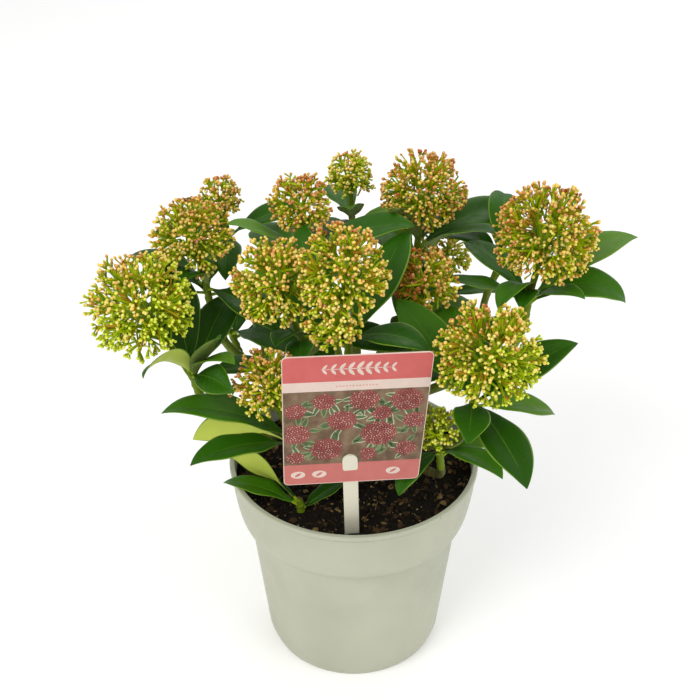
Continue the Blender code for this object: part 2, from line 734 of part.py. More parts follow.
def grow_head(crown, shoot):
    """The flower head: knots of buds on stalks that fan out from the twig."""
    if not shoot.head:
        return
    dice = dice_for(shoot.name, "head")
    centre = Vector(shoot.head) * MM
    whorl = Vector(shoot.whorl) * MM
    radius = shoot.radius * MM
    knot = SPRAY_RADIUS_SHARE * radius + SPRAY_EXTRA_RADIUS
    axis = (centre - whorl).normalized()
    lean = UP.rotation_difference((axis + UP).normalized())
    count = max(8, round(SPRAYS_ON_LARGEST * (shoot.radius / LARGEST_HEAD) ** 1.3))
    for index in range(count):
        polar = SPRAY_REACH * math.sqrt((index + 0.3) / count)
        turn = index * GOLDEN_TURN + dice.uniform(-0.2, 0.2)
        way = lean @ Vector((
            math.sin(polar) * math.cos(turn), math.sin(polar) * math.sin(turn), math.cos(polar),
        ))
        size = knot * dice.uniform(0.88, 1.12)
        end = centre + way * (radius - size)
        start = whorl.lerp(centre, 0.95 - 0.45 * polar / SPRAY_REACH)
        if not crown.is_clear(shoot.name, spray_solid(end, size, GAP)):
            size = 0.75 * size
            end = centre + way * (0.85 * radius - size)
        if not crown.is_clear(shoot.name, spray_solid(end, size, GAP)):
            continue
        if not crown.is_clear(shoot.name, stalk_solid(start, end, STALK_RADIUS, GAP)):
            continue
        crown.keep(shoot.name, "spray", spray_solid(end, size))
        crown.keep(shoot.name, "twig", stalk_solid(start, end, STALK_RADIUS))


def leaf_choices(leaf, dice):
    """The leaf as asked, then near alternatives, each a little further off."""
    yield leaf
    for step in range(1, LEAF_VARIANTS):
        yield leaf._replace(
            compass=leaf.compass + dice.uniform(-2.2, 2.2) * step,
            rise=leaf.rise + dice.uniform(-1.6, 1.6) * step,
            length=leaf.length * (1.0 - 0.02 * step),
            roll=leaf.roll + dice.uniform(-2.0, 2.0) * step,
        )


def grow_leaf(crown, owner, leaf, dice):
    """Place a leaf where it is clear, or leave it out."""
    spare = None
    for choice in leaf_choices(leaf, dice):
        if not crown.is_clear(owner, leaf_solid(choice, 0.0, GAP)):
            continue
        if crown.is_apart(owner, leaf_solid(choice, 0.35)):
            crown.keep(owner, "leaf", leaf_solid(choice))
            return True
        spare = spare or choice
    if spare:
        crown.keep(owner, "leaf", leaf_solid(spare))
    return spare is not None


def leaf_root(shoot, index):
    """Where a leaf springs from the twig: the whorl spreads a few millimetres."""
    whorl = Vector(shoot.whorl) * MM
    down = (twig_start(shoot) - whorl).normalized()
    return whorl + down * (LEAF_SPACING * (index % 4 + 0.4))


def grow_shown_leaves(crown, shoot):
    """The leaves that the front view shows."""
    for index, (compass, rise, length, bend) in enumerate(SHOWN_LEAVES.get(shoot.name, ())):
        dice = dice_for(shoot.name, index)
        roll = ROLLED_LEAVES.get((shoot.name, index), dice.uniform(-LEAF_ROLL, LEAF_ROLL))
        leaf = Leaf(leaf_root(shoot, index), compass, rise, length, bend, roll)
        grow_leaf(crown, shoot.name, leaf, dice)


def widest_gap(compasses):
    """The middle of the widest gap between leaves round a twig."""
    ring = sorted(compass % 360.0 for compass in compasses)
    gaps = [(b - a, (a + b) / 2.0) for a, b in zip(ring, ring[1:] + [ring[0] + 360.0])]
    return max(gaps)[1]


def is_in_crown(point):
    """Whether a point keeps inside the crown, a round bowl that widens upward."""
    reach = CROWN_REACH + CROWN_FLARE * (point.z - CROWN_HEIGHT)
    depth = (point.y - CROWN_CENTRE_Y) / CROWN_DEPTH_SHARE
    return math.hypot(point.x, depth) <= reach


def raised_into_crown(leaf):
    """The leaf, steeper and shorter until its tip keeps inside the crown."""
    while leaf.length > SHORTEST_LEAF and not is_in_crown(leaf_frame(leaf, 1.0)[0]):
        leaf = leaf._replace(rise=leaf.rise + 3.0, length=leaf.length * 0.96)
    return leaf


def grow_hidden_leaves(crown, shoot):
    """The leaves that finish the whorl where the front view doesn't reach."""
    taken = [row[0] for row in SHOWN_LEAVES.get(shoot.name, ())]
    shown = len(taken)
    taken = taken or [dice_for(shoot.name, "first").uniform(0.0, 360.0)]
    for index in range(shown, shown + shoot.fill):
        dice = dice_for(shoot.name, index)
        compass = widest_gap(taken) + dice.uniform(-12.0, 12.0)
        taken.append(compass)
        leaf = Leaf(
            leaf_root(shoot, index), compass, dice.uniform(5.0, 38.0),
            dice.uniform(50.0, 64.0), dice.uniform(35.0, 70.0), dice.uniform(-LEAF_ROLL, LEAF_ROLL),
        )
        leaf = raised_into_crown(leaf)
        if is_in_crown(leaf_frame(leaf, 1.0)[0]):
            grow_leaf(crown, shoot.name, leaf, dice)


def fuse_shoot(crown, shoot, parts):
    """Join a shoot's twig, leaves and sprays into one solid."""
    name = "shoot_" + shoot.name
    meshes = crown.pieces[shoot.name]
    first = add_object(name + "_loose", meshes[0], parts)
    others = new_collection(name + "_pieces")
    for mesh in meshes[1:]:
        add_object(mesh.name, mesh, others)
    union = first.modifiers.new("Join", "BOOLEAN")
    union.operation = "UNION"
    union.operand_type = "COLLECTION"
    union.collection = others
    union.solver = "MANIFOLD"
    fused = largest_shell(evaluated_mesh(first))
    fused.name = name
    fused.materials.clear()
    for item in list(others.objects):
        bpy.data.objects.remove(item)
    bpy.data.collections.remove(others)
    bpy.data.objects.remove(first)
    return add_object(name, fused, parts, "foliage")


def main():
    """Build the plant in its pot."""
    clear_scene()
    parts = new_collection("potted_skimmia")
    cutters = new_collection("cutters")
    fixed = [build_pot(parts, cutters), build_soil(parts, cutters)]
    fixed.append(stick_solid("label_stick", 0.0, parts=parts))
    fixed.append(build_card(parts, cutters))
    fixed.extend(build_limbs(parts, cutters))
    bpy.context.view_layer.update()
    crown = Crown(fixed)
    for grow in (grow_twig, grow_head, grow_shown_leaves, grow_hidden_leaves):
        for shoot in SHOOTS:
            grow(crown, shoot)
    for shoot in SHOOTS:
        fuse_shoot(crown, shoot, parts)


main()
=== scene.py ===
"""The looks of a flowering skimmia in its nursery pot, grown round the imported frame.

Metres, +Z up, -Y the side that the plant's label faces. Limbs, leaves and flower
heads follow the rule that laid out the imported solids, carried on to finer twigs,
single buds and thin blades within the same reach.
"""

import functools
import json
import math
import random
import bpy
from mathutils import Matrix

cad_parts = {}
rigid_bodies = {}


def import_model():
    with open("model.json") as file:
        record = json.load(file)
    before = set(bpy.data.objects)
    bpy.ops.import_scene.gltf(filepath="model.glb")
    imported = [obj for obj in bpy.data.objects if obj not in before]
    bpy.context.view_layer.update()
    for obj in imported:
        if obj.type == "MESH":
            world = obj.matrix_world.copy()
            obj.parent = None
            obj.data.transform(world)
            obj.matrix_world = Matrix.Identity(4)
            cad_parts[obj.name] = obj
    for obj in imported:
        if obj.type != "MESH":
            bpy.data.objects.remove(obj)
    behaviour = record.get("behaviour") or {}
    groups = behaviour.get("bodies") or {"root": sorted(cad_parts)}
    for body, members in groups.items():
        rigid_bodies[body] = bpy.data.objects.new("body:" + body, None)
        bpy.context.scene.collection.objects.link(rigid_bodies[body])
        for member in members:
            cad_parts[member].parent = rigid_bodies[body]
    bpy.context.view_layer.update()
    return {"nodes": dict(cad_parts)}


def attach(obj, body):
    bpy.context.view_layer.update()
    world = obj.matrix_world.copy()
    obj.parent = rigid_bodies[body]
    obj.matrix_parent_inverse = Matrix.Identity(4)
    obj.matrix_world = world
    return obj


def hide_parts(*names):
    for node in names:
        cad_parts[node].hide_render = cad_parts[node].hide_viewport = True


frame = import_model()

import zlib
from collections import namedtuple

import bmesh
import bpy
import numpy as np
from mathutils import Matrix, Vector, kdtree, noise
from mathutils.bvhtree import BVHTree

MM = 0.001
TAU = 2.0 * math.pi
GAP = 0.3 * MM
UP = Vector((0.0, 0.0, 1.0))

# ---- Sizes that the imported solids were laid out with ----

POT_HEIGHT = 115.0 * MM
RIM_RADIUS = 65.0 * MM
LIP_HEIGHT = 2.6 * MM
LIP_EDGE = 0.6 * MM
COLLAR_TOP_RADIUS = 64.4 * MM
COLLAR_FOOT_RADIUS = 57.4 * MM
COLLAR_FOOT_HEIGHT = 82.0 * MM
COLLAR_BOW = 0.42
COLLAR_UNDERCUT = 0.8 * MM
BODY_TOP_RADIUS = 55.6 * MM
BODY_FOOT_RADIUS = 47.5 * MM
BODY_FOOT_HEIGHT = 7.0 * MM
BASE_RADIUS = 44.5 * MM
POT_WALL = 1.4 * MM
DRAIN_RADIUS = 4.0 * MM
DRAIN_RING_RADIUS = 31.0 * MM
DRAIN_COUNT = 6

SOIL_HEIGHT = 107.0 * MM
SOIL_LUMP = 1.6 * MM
SOIL_LUMP_SIZE = 14.0 * MM
LEVEL_ROUND_STEM = 10.0 * MM

CARD_CENTRE = Vector((0.2, -60.0, 181.9)) * MM
CARD_WIDTH = 68.3 * MM
CARD_HEIGHT = 74.1 * MM
CARD_FOOT_INSET = 2.0 * MM
CARD_CORNER = 2.5 * MM
CARD_THICKNESS = 0.6 * MM
CARD_YAW = math.radians(7.5)
CARD_PITCH = math.radians(2.5)
CARD_ROLL = math.radians(2.1)
CARD_SLOT_DROP = 27.5 * MM
STICK_FOOT = Vector((-1.0, -50.5, 107.0)) * MM
STICK_WIDTH = 7.2 * MM
STICK_THICKNESS = 1.2 * MM
STICK_DEPTH = 38.0 * MM
STICK_ABOVE_SLOT = 8.0 * MM

MAIN_STEM_FOOT = Vector((2.0, 6.0, 107.3)) * MM
MAIN_STEM_TOP = Vector((-1.0, 9.0, 137.0)) * MM
MAIN_STEM_RADIUS = 5.6 * MM
MAIN_STEM_TOP_RADIUS = 4.4 * MM
MAIN_STEM_FLARE = 3.0 * MM
MAIN_STEM_FLARE_HEIGHT = 5.0 * MM
MAIN_STEM_BOW = Vector((0.6, 1.4, 0.0)) * MM
MAIN_STEM_RINGS = 7
BOUGH_RADIUS = 3.0 * MM
SIDE_BOUGH_SHARE = 0.85
SIDE_BOUGH_SLANT = 0.45
BOUGH_SWING = 0.33
BOUGH_UPTURN = 0.6
BOUGH_RINGS = 8
TOP_BOUGH_STEP = 0.4 * MM
TWIG_RADIUS = 1.9 * MM
TWIG_LENGTH = 13.0 * MM

LEAF_WIDTH_SHARE = 0.36
LEAF_FOLD = 0.28
LEAF_STALK_SHARE = 0.09
LEAF_STALK_WIDTH = 0.16
SPRAY_REACH = math.radians(132.0)
SPRAYS_ON_LARGEST = 16
LARGEST_HEAD = 28.8
STALK_RADIUS = 0.9 * MM
CROWN_HEIGHT = 150.0 * MM
CROWN_REACH = 84.0 * MM
CROWN_FLARE = 0.45
CROWN_CENTRE_Y = 22.0 * MM
CROWN_DEPTH_SHARE = 1.3
SHORTEST_LEAF = 36.0
GOLDEN_TURN = math.pi * (3.0 - math.sqrt(5.0))
LEAF_ROLL = 18.0
LEAF_SPACING = 1.3 * MM
LEAF_VARIANTS = 12
SEED = 27

Shoot = namedtuple("Shoot", "name parent along whorl head radius fill")
Leaf = namedtuple("Leaf", "base compass rise length bend roll")

# Each shoot: the limb it leaves and how far along that, then in millimetres
# its whorl, its flower head's centre and radius, and its leaves past those shown
SHOOTS = (
    Shoot("middle", "main_stem", 1.00, (-3, -26, 204), (-5, -30, 243), 25.2, 2),
    Shoot("fore", "middle", 0.50, (-7, -35, 200), (-10, -44, 225), 15.5, 0),
    Shoot("west", "main_stem", 0.45, (-79, -20, 180), (-99, -25, 222), 28.8, 2),
    Shoot("northwest", "main_stem", 0.84, (-75, 32, 198), (-80, 30, 228), 23.8, 4),
    Shoot("north", "main_stem", 0.50, (-1, 82, 211), (-2, 85, 236), 15.8, 3),
    Shoot("east", "main_stem", 0.84, (87, 14, 203), (92, 12, 239), 27.9, 3),
    Shoot("southeast", "main_stem", 0.48, (56, -42, 180), (61, -50, 211), 28.4, 2),
    Shoot("southwest", "west", 0.28, (-30, -38, 154), (-40, -40, 188), 20.5, 2),
    Shoot("far_northwest", "northwest", 0.50, (-67, 74, 205), (-70, 75, 228), 14.7, 2),
    Shoot("mid_west", "middle", 0.40, (-26, -4, 191), (-36, -22, 233), 23.9, 1),
    Shoot("mid_north", "north", 0.55, (-27, 46, 210), (-27, 48, 237), 19.1, 2),
    Shoot("northeast", "north", 0.35, (33, 56, 209), (36, 60, 238), 24.8, 3),
    Shoot("mid_east", "east", 0.28, (33, 8, 192), (34, 7, 216), 20.0, 2),
    Shoot("low_south", "main_stem", 0.20, (42, -34, 144), (39, -42, 164), 13.3, 2),
    Shoot("back_west", "northwest", 0.30, (-28, 86, 160), (-30, 96, 186), 19.0, 6),
    Shoot("back_east", "northeast", 0.30, (48, 82, 160), (50, 92, 186), 19.0, 6),
    Shoot("low_west", "northwest", 0.62, (-66, 52, 158), None, 0.0, 6),
    Shoot("low_east", "east", 0.45, (66, 30, 156), None, 0.0, 6),
    Shoot("upper_east", "east", 0.60, (77, 46, 208), None, 0.0, 2),
    Shoot("basal", "soil", 0.00, (-27, -35, 112), None, 0.0, 0),
)

# Leaves that show from the front: compass, rise, length in millimetres, bend
SHOWN_LEAVES = {
    "west": (
        (233, 72, 57, 78), (305, 40, 42, 42), (75, 30, 62, 30),
        (310, 70, 46, 25), (316, 60, 42, 50), (108, 48, 66, 20),
    ),
    "northwest": ((142, 20, 60, 40), (252, 80, 42, 90), (215, 25, 44, 60)),
    "far_northwest": ((12, 38, 46, 40), (272, 30, 44, 60)),
    "mid_north": ((204, 50, 48, 30), (340, 42, 68, 30), (122, 8, 56, 30)),
    "mid_west": (
        (98, 50, 66, 20), (112, 37, 64, 20), (250, 59, 40, 60), (262, 46, 44, 60),
    ),
    "middle": ((254, 52, 40, 49), (326, 45, 48, 59), (57, 36, 72, 10)),
    "north": ((103, 19, 50, 40), (268, 59, 40, 40)),
    "northeast": ((217, 72, 56, 60), (21, 41, 66, 60), (315, 47, 60, 30)),
    "mid_east": ((232, 60, 38, 60), (50, 15, 44, 40)),
    "east": (
        (223, 86, 56, 110), (250, 70, 40, 90), (24, 47, 69, 49), (1, 53, 60, 99),
    ),
    "upper_east": ((138, 42, 66, 92), (88, 71, 58, 100), (105, 64, 64, 107)),
    "southeast": (
        (131, 40, 67, 14), (100, 62, 73, 52), (15, 38, 58, 18),
        (24, -4, 52, 31), (289, 9, 61, 27), (256, 35, 52, 33),
    ),
    "low_south": ((307, 41, 48, 49), (224, 32, 36, 100)),
    "southwest": ((182, 46, 68, 56), (171, 28, 52, 63), (211, 32, 57, 41)),
    "basal": ((146, 39, 47, 46), (160, 26, 44, 40), (232, 30, 27, 60), (41, 13, 32, 10)),
}

# How far some of them are rolled over, by shoot and place in its list
ROLLED_LEAVES = {
    ("west", 0): 39.0, ("west", 1): 50.0, ("east", 3): 18.0, ("southwest", 1): 102.0,
    ("basal", 0): 98.0, ("upper_east", 2): 20.0,
}

# Leaves whose undersides are the palest
PALE_LEAVES = {("southwest", 1), ("basal", 0), ("basal", 1), ("east", 1), ("west", 0)}

# The card's print: its middle panel, and its berry clusters as place and size
PRINT_STEP = 0.02 * MM
PANEL_TOP = 17.6 * MM
PANEL_FOOT = -24.9 * MM
CARD_SPRIGS = (
    (-14.5, 11.5, 5.2), (4.0, 12.0, 6.8), (23.5, 11.0, 7.4), (-6.0, 0.5, 6.6), (12.5, 4.0, 4.6),
    (-27.0, -6.5, 6.6), (11.5, -8.0, 8.2), (27.5, -1.0, 5.2), (-12.5, -16.0, 7.4), (6.5, -20.0, 4.4),
    (-27.5, 6.5, 4.8), (24.5, -17.5, 5.0), (-27.0, -20.5, 4.0),
)

# ---- How finely the pot and the soil are made, and what lies on it ----

POT_SIDES = 144
SOIL_RINGS = 64
SOIL_SIDES = 176
FIBRE_COUNT = 170

# Each kind of chip or crumb: how many are strewn, and their sizes in millimetres
CHIPS = {
    "chip_black": (760, 0.9, 2.4),
    "chip_brown": (420, 0.9, 3.2),
    "chip_tan": (300, 0.6, 2.8),
    "grit": (170, 0.28, 0.6),
}

# ---- Floor, lamps and camera, in metres ----

FLOOR_HALF = 6.0
FLOOR_LEVEL = -0.2 * MM
LIGHT_AIM = (0.0, 0.0, 0.17)
CAMERA_PLACE = (-0.002, -0.5397, 0.5342)
CAMERA_AIM = (-0.002, 0.0, 0.181)
CAMERA_LENS = 66.86

# ---- Sizes of the finer growth ----

TIP_MATCH = 0.05 * MM
BLADE_STATIONS = 26
BLADE_ACROSS = (-1.0, -0.93, -0.76, -0.52, -0.26, 0.0, 0.26, 0.52, 0.76, 0.93, 1.0)
BLADE_UNDER = (0.9, 0.55, 0.0, -0.55, -0.9)
BLADE_THICKNESS = 0.55 * MM
MIDRIB_HALF = 0.45 * MM
MIDRIB_SINK = 0.22 * MM
RIB_RISE = 0.45 * MM
PETIOLE_RADIUS = 0.95 * MM
MARGIN_WAVE = 0.035
TIP_HOOK = 0.035
HOOK_START = 0.84
STALK_END = 0.085

BUD_RADIUS = 0.83 * MM
BUD_SIDES = 8
BUD_REACH = math.radians(141.0)
BUDS_ON_CYME = 5.0
CYME_PULL = 0.22
CYME_DEPTH = 0.13
INNER_SHARE = 0.36
FORK_SHARE = 0.50
BRANCHLET_RADIUS = 0.54 * MM
PEDICEL_RADIUS = 0.36 * MM
BUD_CLEARANCE = 1.2 * MM
NEIGHBOUR_SHARE = 0.86
TONE_WARMTHS = (0.06, 0.30, 0.50, 0.70, 0.90, 1.12)
TONE_SPREAD = 0.22

# How each head looks: warmth from lime at 0 to rust at 1, how much that gains
# along a direction, the direction, square millimetres a bud, depth of its lumps
Look = namedtuple("Look", "warmth gain way area lump")
HEAD_LOOKS = {
    "middle": Look(0.44, 0.20, (0.0, 0.1, 1.0), 8.0, 0.10),
    "fore": Look(0.40, 0.16, (0.0, 0.1, 1.0), 8.0, 0.10),
    "west": Look(0.08, 0.46, (-0.3, 0.1, 1.0), 8.8, 0.16),
    "northwest": Look(0.44, 0.28, (0.0, 0.0, 1.0), 7.6, 0.12),
    "north": Look(0.26, 0.24, (0.0, 0.0, 1.0), 8.2, 0.18),
    "east": Look(0.57, 0.22, (-0.2, 0.0, 1.0), 7.4, 0.08),
    "southeast": Look(0.24, 0.42, (-0.4, 0.0, 1.0), 9.0, 0.16),
    "southwest": Look(0.24, 0.60, (-0.9, 0.0, 1.0), 8.5, 0.14),
    "far_northwest": Look(0.50, 0.22, (0.0, 0.0, 1.0), 10.0, 0.20),
    "mid_west": Look(0.42, 0.18, (0.0, 0.0, 1.0), 9.0, 0.10),
    "mid_north": Look(0.64, 0.20, (0.0, 0.0, 1.0), 7.4, 0.12),
    "northeast": Look(0.62, 0.20, (-0.2, 0.0, 1.0), 7.6, 0.12),
    "mid_east": Look(0.84, 0.50, (-1.0, 0.0, 0.35), 8.5, 0.12),
    "low_south": Look(0.00, 0.08, (0.0, 0.0, 1.0), 9.5, 0.14),
    "back_west": Look(0.30, 0.26, (0.0, 0.0, 1.0), 10.5, 0.14),
    "back_east": Look(0.26, 0.26, (0.0, 0.0, 1.0), 10.5, 0.14),
}

# ---- Colours, as seen on a screen from 0 to 255, with roughness ----

PALETTE = {
    "leaf_deep": ((28, 72, 2), 0.44),
    "leaf_dark": ((37, 86, 3), 0.45),
    "leaf_mid": ((52, 102, 6), 0.46),
    "leaf_fresh": ((78, 124, 12), 0.46),
    "leaf_under_grey": ((130, 150, 76), 0.60),
    "leaf_under_pale": ((176, 190, 78), 0.58),
    "leaf_margin": ((112, 146, 44), 0.48),
    "leaf_midrib": ((92, 134, 28), 0.46),
    "petiole": ((142, 166, 20), 0.48),
    "twig_green": ((100, 122, 16), 0.54),
    "stalk_lime": ((164, 184, 3), 0.54),
    "stalk_green": ((124, 150, 2), 0.55),
    "stalk_olive": ((172, 150, 12), 0.56),
    "stalk_rust": ((178, 128, 32), 0.56),
    "calyx_lime": ((176, 188, 6), 0.52),
    "calyx_olive": ((184, 162, 18), 0.54),
    "calyx_rust": ((184, 120, 36), 0.56),
    # The next two are lighter tones painted only on bud tips, as a painted highlight
    "bud_pale": ((232, 214, 118), 0.46),
    "bud_fresh": ((212, 220, 78), 0.46),
    "bud_lime": ((184, 200, 26), 0.48),
    "bud_cream": ((234, 202, 98), 0.48),
    "bud_peach": ((222, 174, 96), 0.48),
    "bud_rose": ((202, 138, 82), 0.48),
    "bud_rust": ((184, 106, 54), 0.50),
    "bud_red": ((150, 48, 18), 0.50),
}

SHEEN_TINT = (0.92, 1.0, 0.62, 1.0)
LEAF_UPPERS = ("leaf_deep", "leaf_dark", "leaf_mid", "leaf_fresh")
LEAF_SIDES = (*LEAF_UPPERS, "leaf_under_grey", "leaf_under_pale")
BUD_TONES = ("bud_lime", "bud_cream", "bud_peach", "bud_rose", "bud_rust", "bud_red")
# Each bud tip's tone is a step paler than its bud's: a painted highlight on the tip
TIP_HIGHLIGHT_TONES = ("bud_fresh", "bud_pale", "bud_cream", "bud_peach", "bud_rose", "bud_rust")
CALYX_TONES = ("calyx_lime", "calyx_olive", "calyx_rust")
STALK_TONES = ("stalk_lime", "stalk_green", "stalk_olive", "stalk_rust")

# Each earth's size of grain in millimetres, then its colours by the noise's value
EARTHS = {
    "peat": (2.2, (0.34, (9, 6, 3)), (0.54, (20, 14, 7)), (0.68, (42, 30, 16)), (0.78, (92, 74, 42))),
    "chip_black": (2.0, (0.35, (14, 10, 6)), (0.70, (36, 27, 16))),
    "chip_brown": (2.0, (0.35, (46, 32, 17)), (0.70, (88, 64, 36))),
    "chip_tan": (2.0, (0.35, (86, 66, 38)), (0.70, (156, 130, 84))),
    "grit": (1.0, (0.35, (150, 138, 100)), (0.70, (200, 192, 158))),
}

# Each ink of the card, and how much its mottle darkens it
INKS = {
    "card_edge": ((222, 196, 182), 8),
    "card_coral": ((190, 88, 84), 6),
    "card_strip": ((208, 188, 176), 6),
    "card_foot": ((182, 100, 92), 6),
    "card_dusk": ((122, 98, 72), 40),
    "card_leaf": ((128, 144, 94), 26),
    "card_leaf_deep": ((78, 98, 58), 22),
    "card_leaf_pale": ((178, 184, 148), 22),
    "card_berry": ((180, 98, 88), 26),
    "card_berry_deep": ((128, 62, 56), 26),
    "card_berry_pale": ((204, 150, 136), 20),
}


def srgb(red, green, blue):
    """A screen colour from 0 to 255 as linear light, with alpha."""
    values = [value / 255.0 for value in (red, green, blue)]
    linear = [v / 12.92 if v <= 0.04045 else ((v + 0.055) / 1.055) ** 2.4 for v in values]
    return (*linear, 1.0)


# ---- Materials ----


class Shading:
    """A node material under construction, with short calls for what recurs."""

    def __init__(self, name, roughness, specular):
        self.material = bpy.data.materials.new(name)
        self.material.use_nodes = True
        self.tree = self.material.node_tree
        self.shader = self.tree.nodes["Principled BSDF"]
        self.set("Roughness", roughness)
        self.set("Specular IOR Level", specular)
        self.place = self.node("TexCoord").outputs["Object"]

    def feed(self, socket, value):
        """Give an input an output to follow, or a constant."""
        if isinstance(value, bpy.types.NodeSocket):
            self.tree.links.new(value, socket)
        else:
            socket.default_value = value

    def set(self, socket, value):
        """Feed one of the shader's own sockets."""
        self.feed(self.shader.inputs[socket], value)

    def node(self, kind, **values):
        """A node with its inputs fed, their names' spaces written as underscores."""
        node = self.tree.nodes.new("ShaderNode" + kind)
        for name, value in values.items():
            self.feed(node.inputs[name.replace("_", " ")], value)
        return node

    def math(self, operation, *values):
        """One sum of sockets and numbers."""
        node = self.node("Math")
        node.operation = operation
        for socket, value in zip(node.inputs, values):
            self.feed(socket, value)
        return node.outputs[0]

    def add(self, first, second):
        """Two sockets or numbers added."""
        return self.math("ADD", first, second)

    def times(self, first, second):
        """Two sockets or numbers multiplied."""
        return self.math("MULTIPLY", first, second)

    def noise(self, size, detail=3.0, rough=0.55, stretch=None):
        """Noise whose features are about the given size in metres."""
        place = self.place
        if stretch:
            place = self.node("Mapping", Vector=place, Scale=stretch).outputs["Vector"]
        node = self.node("TexNoise", Vector=place, Scale=1.0 / size, Detail=detail, Roughness=rough)
        return node.outputs["Fac"]

    def height(self):
        """The height above the floor."""
        return self.node("SeparateXYZ", Vector=self.place).outputs["Z"]

    def ramp(self, source, *stops):
        """A colour ramp over a socket, from (value, screen colour) stops."""
        node = self.node("ValToRGB", Fac=source)
        elements = node.color_ramp.elements
        while len(elements) < len(stops):
            elements.new(0.5)
        for element, (value, colour) in zip(elements, stops):
            element.position = value
            element.color = srgb(*colour)
        return node.outputs["Color"]

    def range(self, source, low, high, bottom, top):
        """A socket's range from low to high drawn out to bottom to top, and held there."""
        node = self.node("MapRange", Value=source, From_Min=low, From_Max=high, To_Min=bottom, To_Max=top)
        return node.outputs["Result"]

    def blend(self, share, first, second):
        """Two colours mixed by a share, each a socket or a screen colour."""
        node = self.node("Mix")
        node.data_type = "RGBA"
        self.feed(node.inputs["Factor"], share)
        for socket, value in zip(node.inputs[6:8], (first, second)):
            self.feed(socket, srgb(*value) if isinstance(value, tuple) else value)
        return node.outputs[2]

    def bump(self, height, distance, strength=1.0):
        """Bump from a height socket, a distance in metres at its full swing."""
        node = self.node("Bump", Height=height, Strength=strength, Distance=distance)
        self.set("Normal", node.outputs["Normal"])


def growth_material(name):
    """Living tissue: a plain colour with uneven gloss and a fine grain."""
    colour, roughness = PALETTE[name]
    shading = Shading(name, roughness, 0.16)
    shading.set("Base Color", srgb(*colour))
    gloss = shading.range(shading.noise(2.5 * MM), 0.3, 0.7, roughness - 0.08, roughness + 0.1)
    shading.set("Roughness", gloss)
    shading.bump(shading.noise(0.6 * MM, 2.0), 0.05 * MM, 0.5)
    return shading.material


def leaf_material(name):
    """A leathery leaf side: plain colour, faint side veins and uneven gloss."""
    colour, roughness = PALETTE[name]
    shading = Shading(name, roughness, 0.24)
    shading.set("Base Color", srgb(*colour))
    shading.set("Specular Tint", SHEEN_TINT)
    blade = shading.node("Attribute")
    blade.attribute_name = "blade"
    parts = shading.node("SeparateXYZ", Vector=blade.outputs["Vector"]).outputs
    lean = shading.times(shading.math("ABSOLUTE", parts["Y"]), 0.20)
    vein = shading.math("SINE", shading.times(shading.math("SUBTRACT", parts["X"], lean), 62.0))
    broad = shading.noise(7.0 * MM, 2.0)
    height = shading.add(shading.times(vein, 0.22), shading.noise(1.2 * MM, 4.0))
    shading.set("Roughness", shading.range(broad, 0.3, 0.7, roughness - 0.07, roughness + 0.12))
    shading.bump(shading.add(height, broad), 0.16 * MM, 0.7)
    return shading.material


def pot_material(name):
    """Pale grey-green moulded plastic, dusty low down and streaked with dirt."""
    shading = Shading(name, 0.5, 0.4)
    clean = shading.ramp(shading.noise(45.0 * MM, 3.0), (0.35, (168, 170, 151)), (0.62, (176, 178, 158)))
    low = shading.range(shading.height(), 1.0 * MM, 14.0 * MM, 0.13, 0.0)
    high = shading.range(shading.height(), POT_HEIGHT - 5.0 * MM, POT_HEIGHT, 0.0, 0.12)
    specks = shading.noise(2.6 * MM, 6.0, 0.62)
    streaks = shading.noise(14.0 * MM, 4.0, 0.6, (1.0, 1.0, 0.35))
    reach = shading.add(shading.add(low, high), -0.02)
    dirt = shading.add(shading.add(shading.times(streaks, 0.16), specks), reach)
    dirt = shading.range(dirt, 0.80, 0.93, 0.0, 0.75)
    dusty = shading.blend(shading.range(streaks, 0.5, 0.8, 0.0, 0.16), clean, (190, 186, 163))
    shading.set("Base Color", shading.blend(dirt, dusty, (96, 76, 52)))
    shading.set("Roughness", shading.range(shading.add(dirt, specks), 0.3, 1.2, 0.42, 0.8))
    shading.bump(shading.noise(0.9 * MM, 3.0), 0.05 * MM, 0.35)
    return shading.material


def earth_material(name):
    """Peat, bark or grit: matt and coarse."""
    grain, *stops = EARTHS[name]
    shading = Shading(name, 0.95, 0.2)
    patches = shading.noise(grain * MM, 6.0, 0.7)
    shading.set("Base Color", shading.ramp(patches, *stops))
    shading.set("Roughness", shading.range(patches, 0.3, 0.7, 0.75, 1.0))
    shading.bump(shading.noise(grain * MM * 0.5, 8.0, 0.75), 0.7 * MM)
    return shading.material


def bark_material(name):
    """Stem skin: brown and furrowed at the foot, smooth yellow-green above."""
    shading = Shading(name, 0.6, 0.35)
    patches = shading.noise(5.0 * MM, 5.0, 0.62, (1.0, 1.0, 0.3))
    level = shading.add(shading.height(), shading.times(patches, 30.0 * MM))
    green = shading.range(level, 132.0 * MM, 172.0 * MM, 0.0, 1.0)
    brown = shading.ramp(patches, (0.3, (46, 36, 20)), (0.55, (76, 62, 34)), (0.75, (104, 94, 48)))
    fresh = shading.ramp(patches, (0.3, (84, 104, 22)), (0.55, (108, 128, 28)), (0.8, (132, 144, 44)))
    shading.set("Base Color", shading.blend(green, brown, fresh))
    shading.set("Roughness", shading.range(green, 0.0, 1.0, 0.85, 0.5))
    shading.bump(patches, 0.3 * MM, 0.8)
    return shading.material


def ink_material(name):
    """Printed card under a satin film: faint mottle of the ink."""
    colour, shift = INKS[name]
    shading = Shading(name, 0.4, 0.45)
    shade = [max(0, value - shift) for value in colour]
    shading.set("Base Color", shading.ramp(shading.noise(6.0 * MM, 4.0), (0.35, shade), (0.65, colour)))
    shading.set("Roughness", shading.range(shading.noise(9.0 * MM), 0.3, 0.7, 0.34, 0.5))
    shading.bump(shading.noise(0.4 * MM, 2.0), 0.02 * MM, 0.3)
    return shading.material


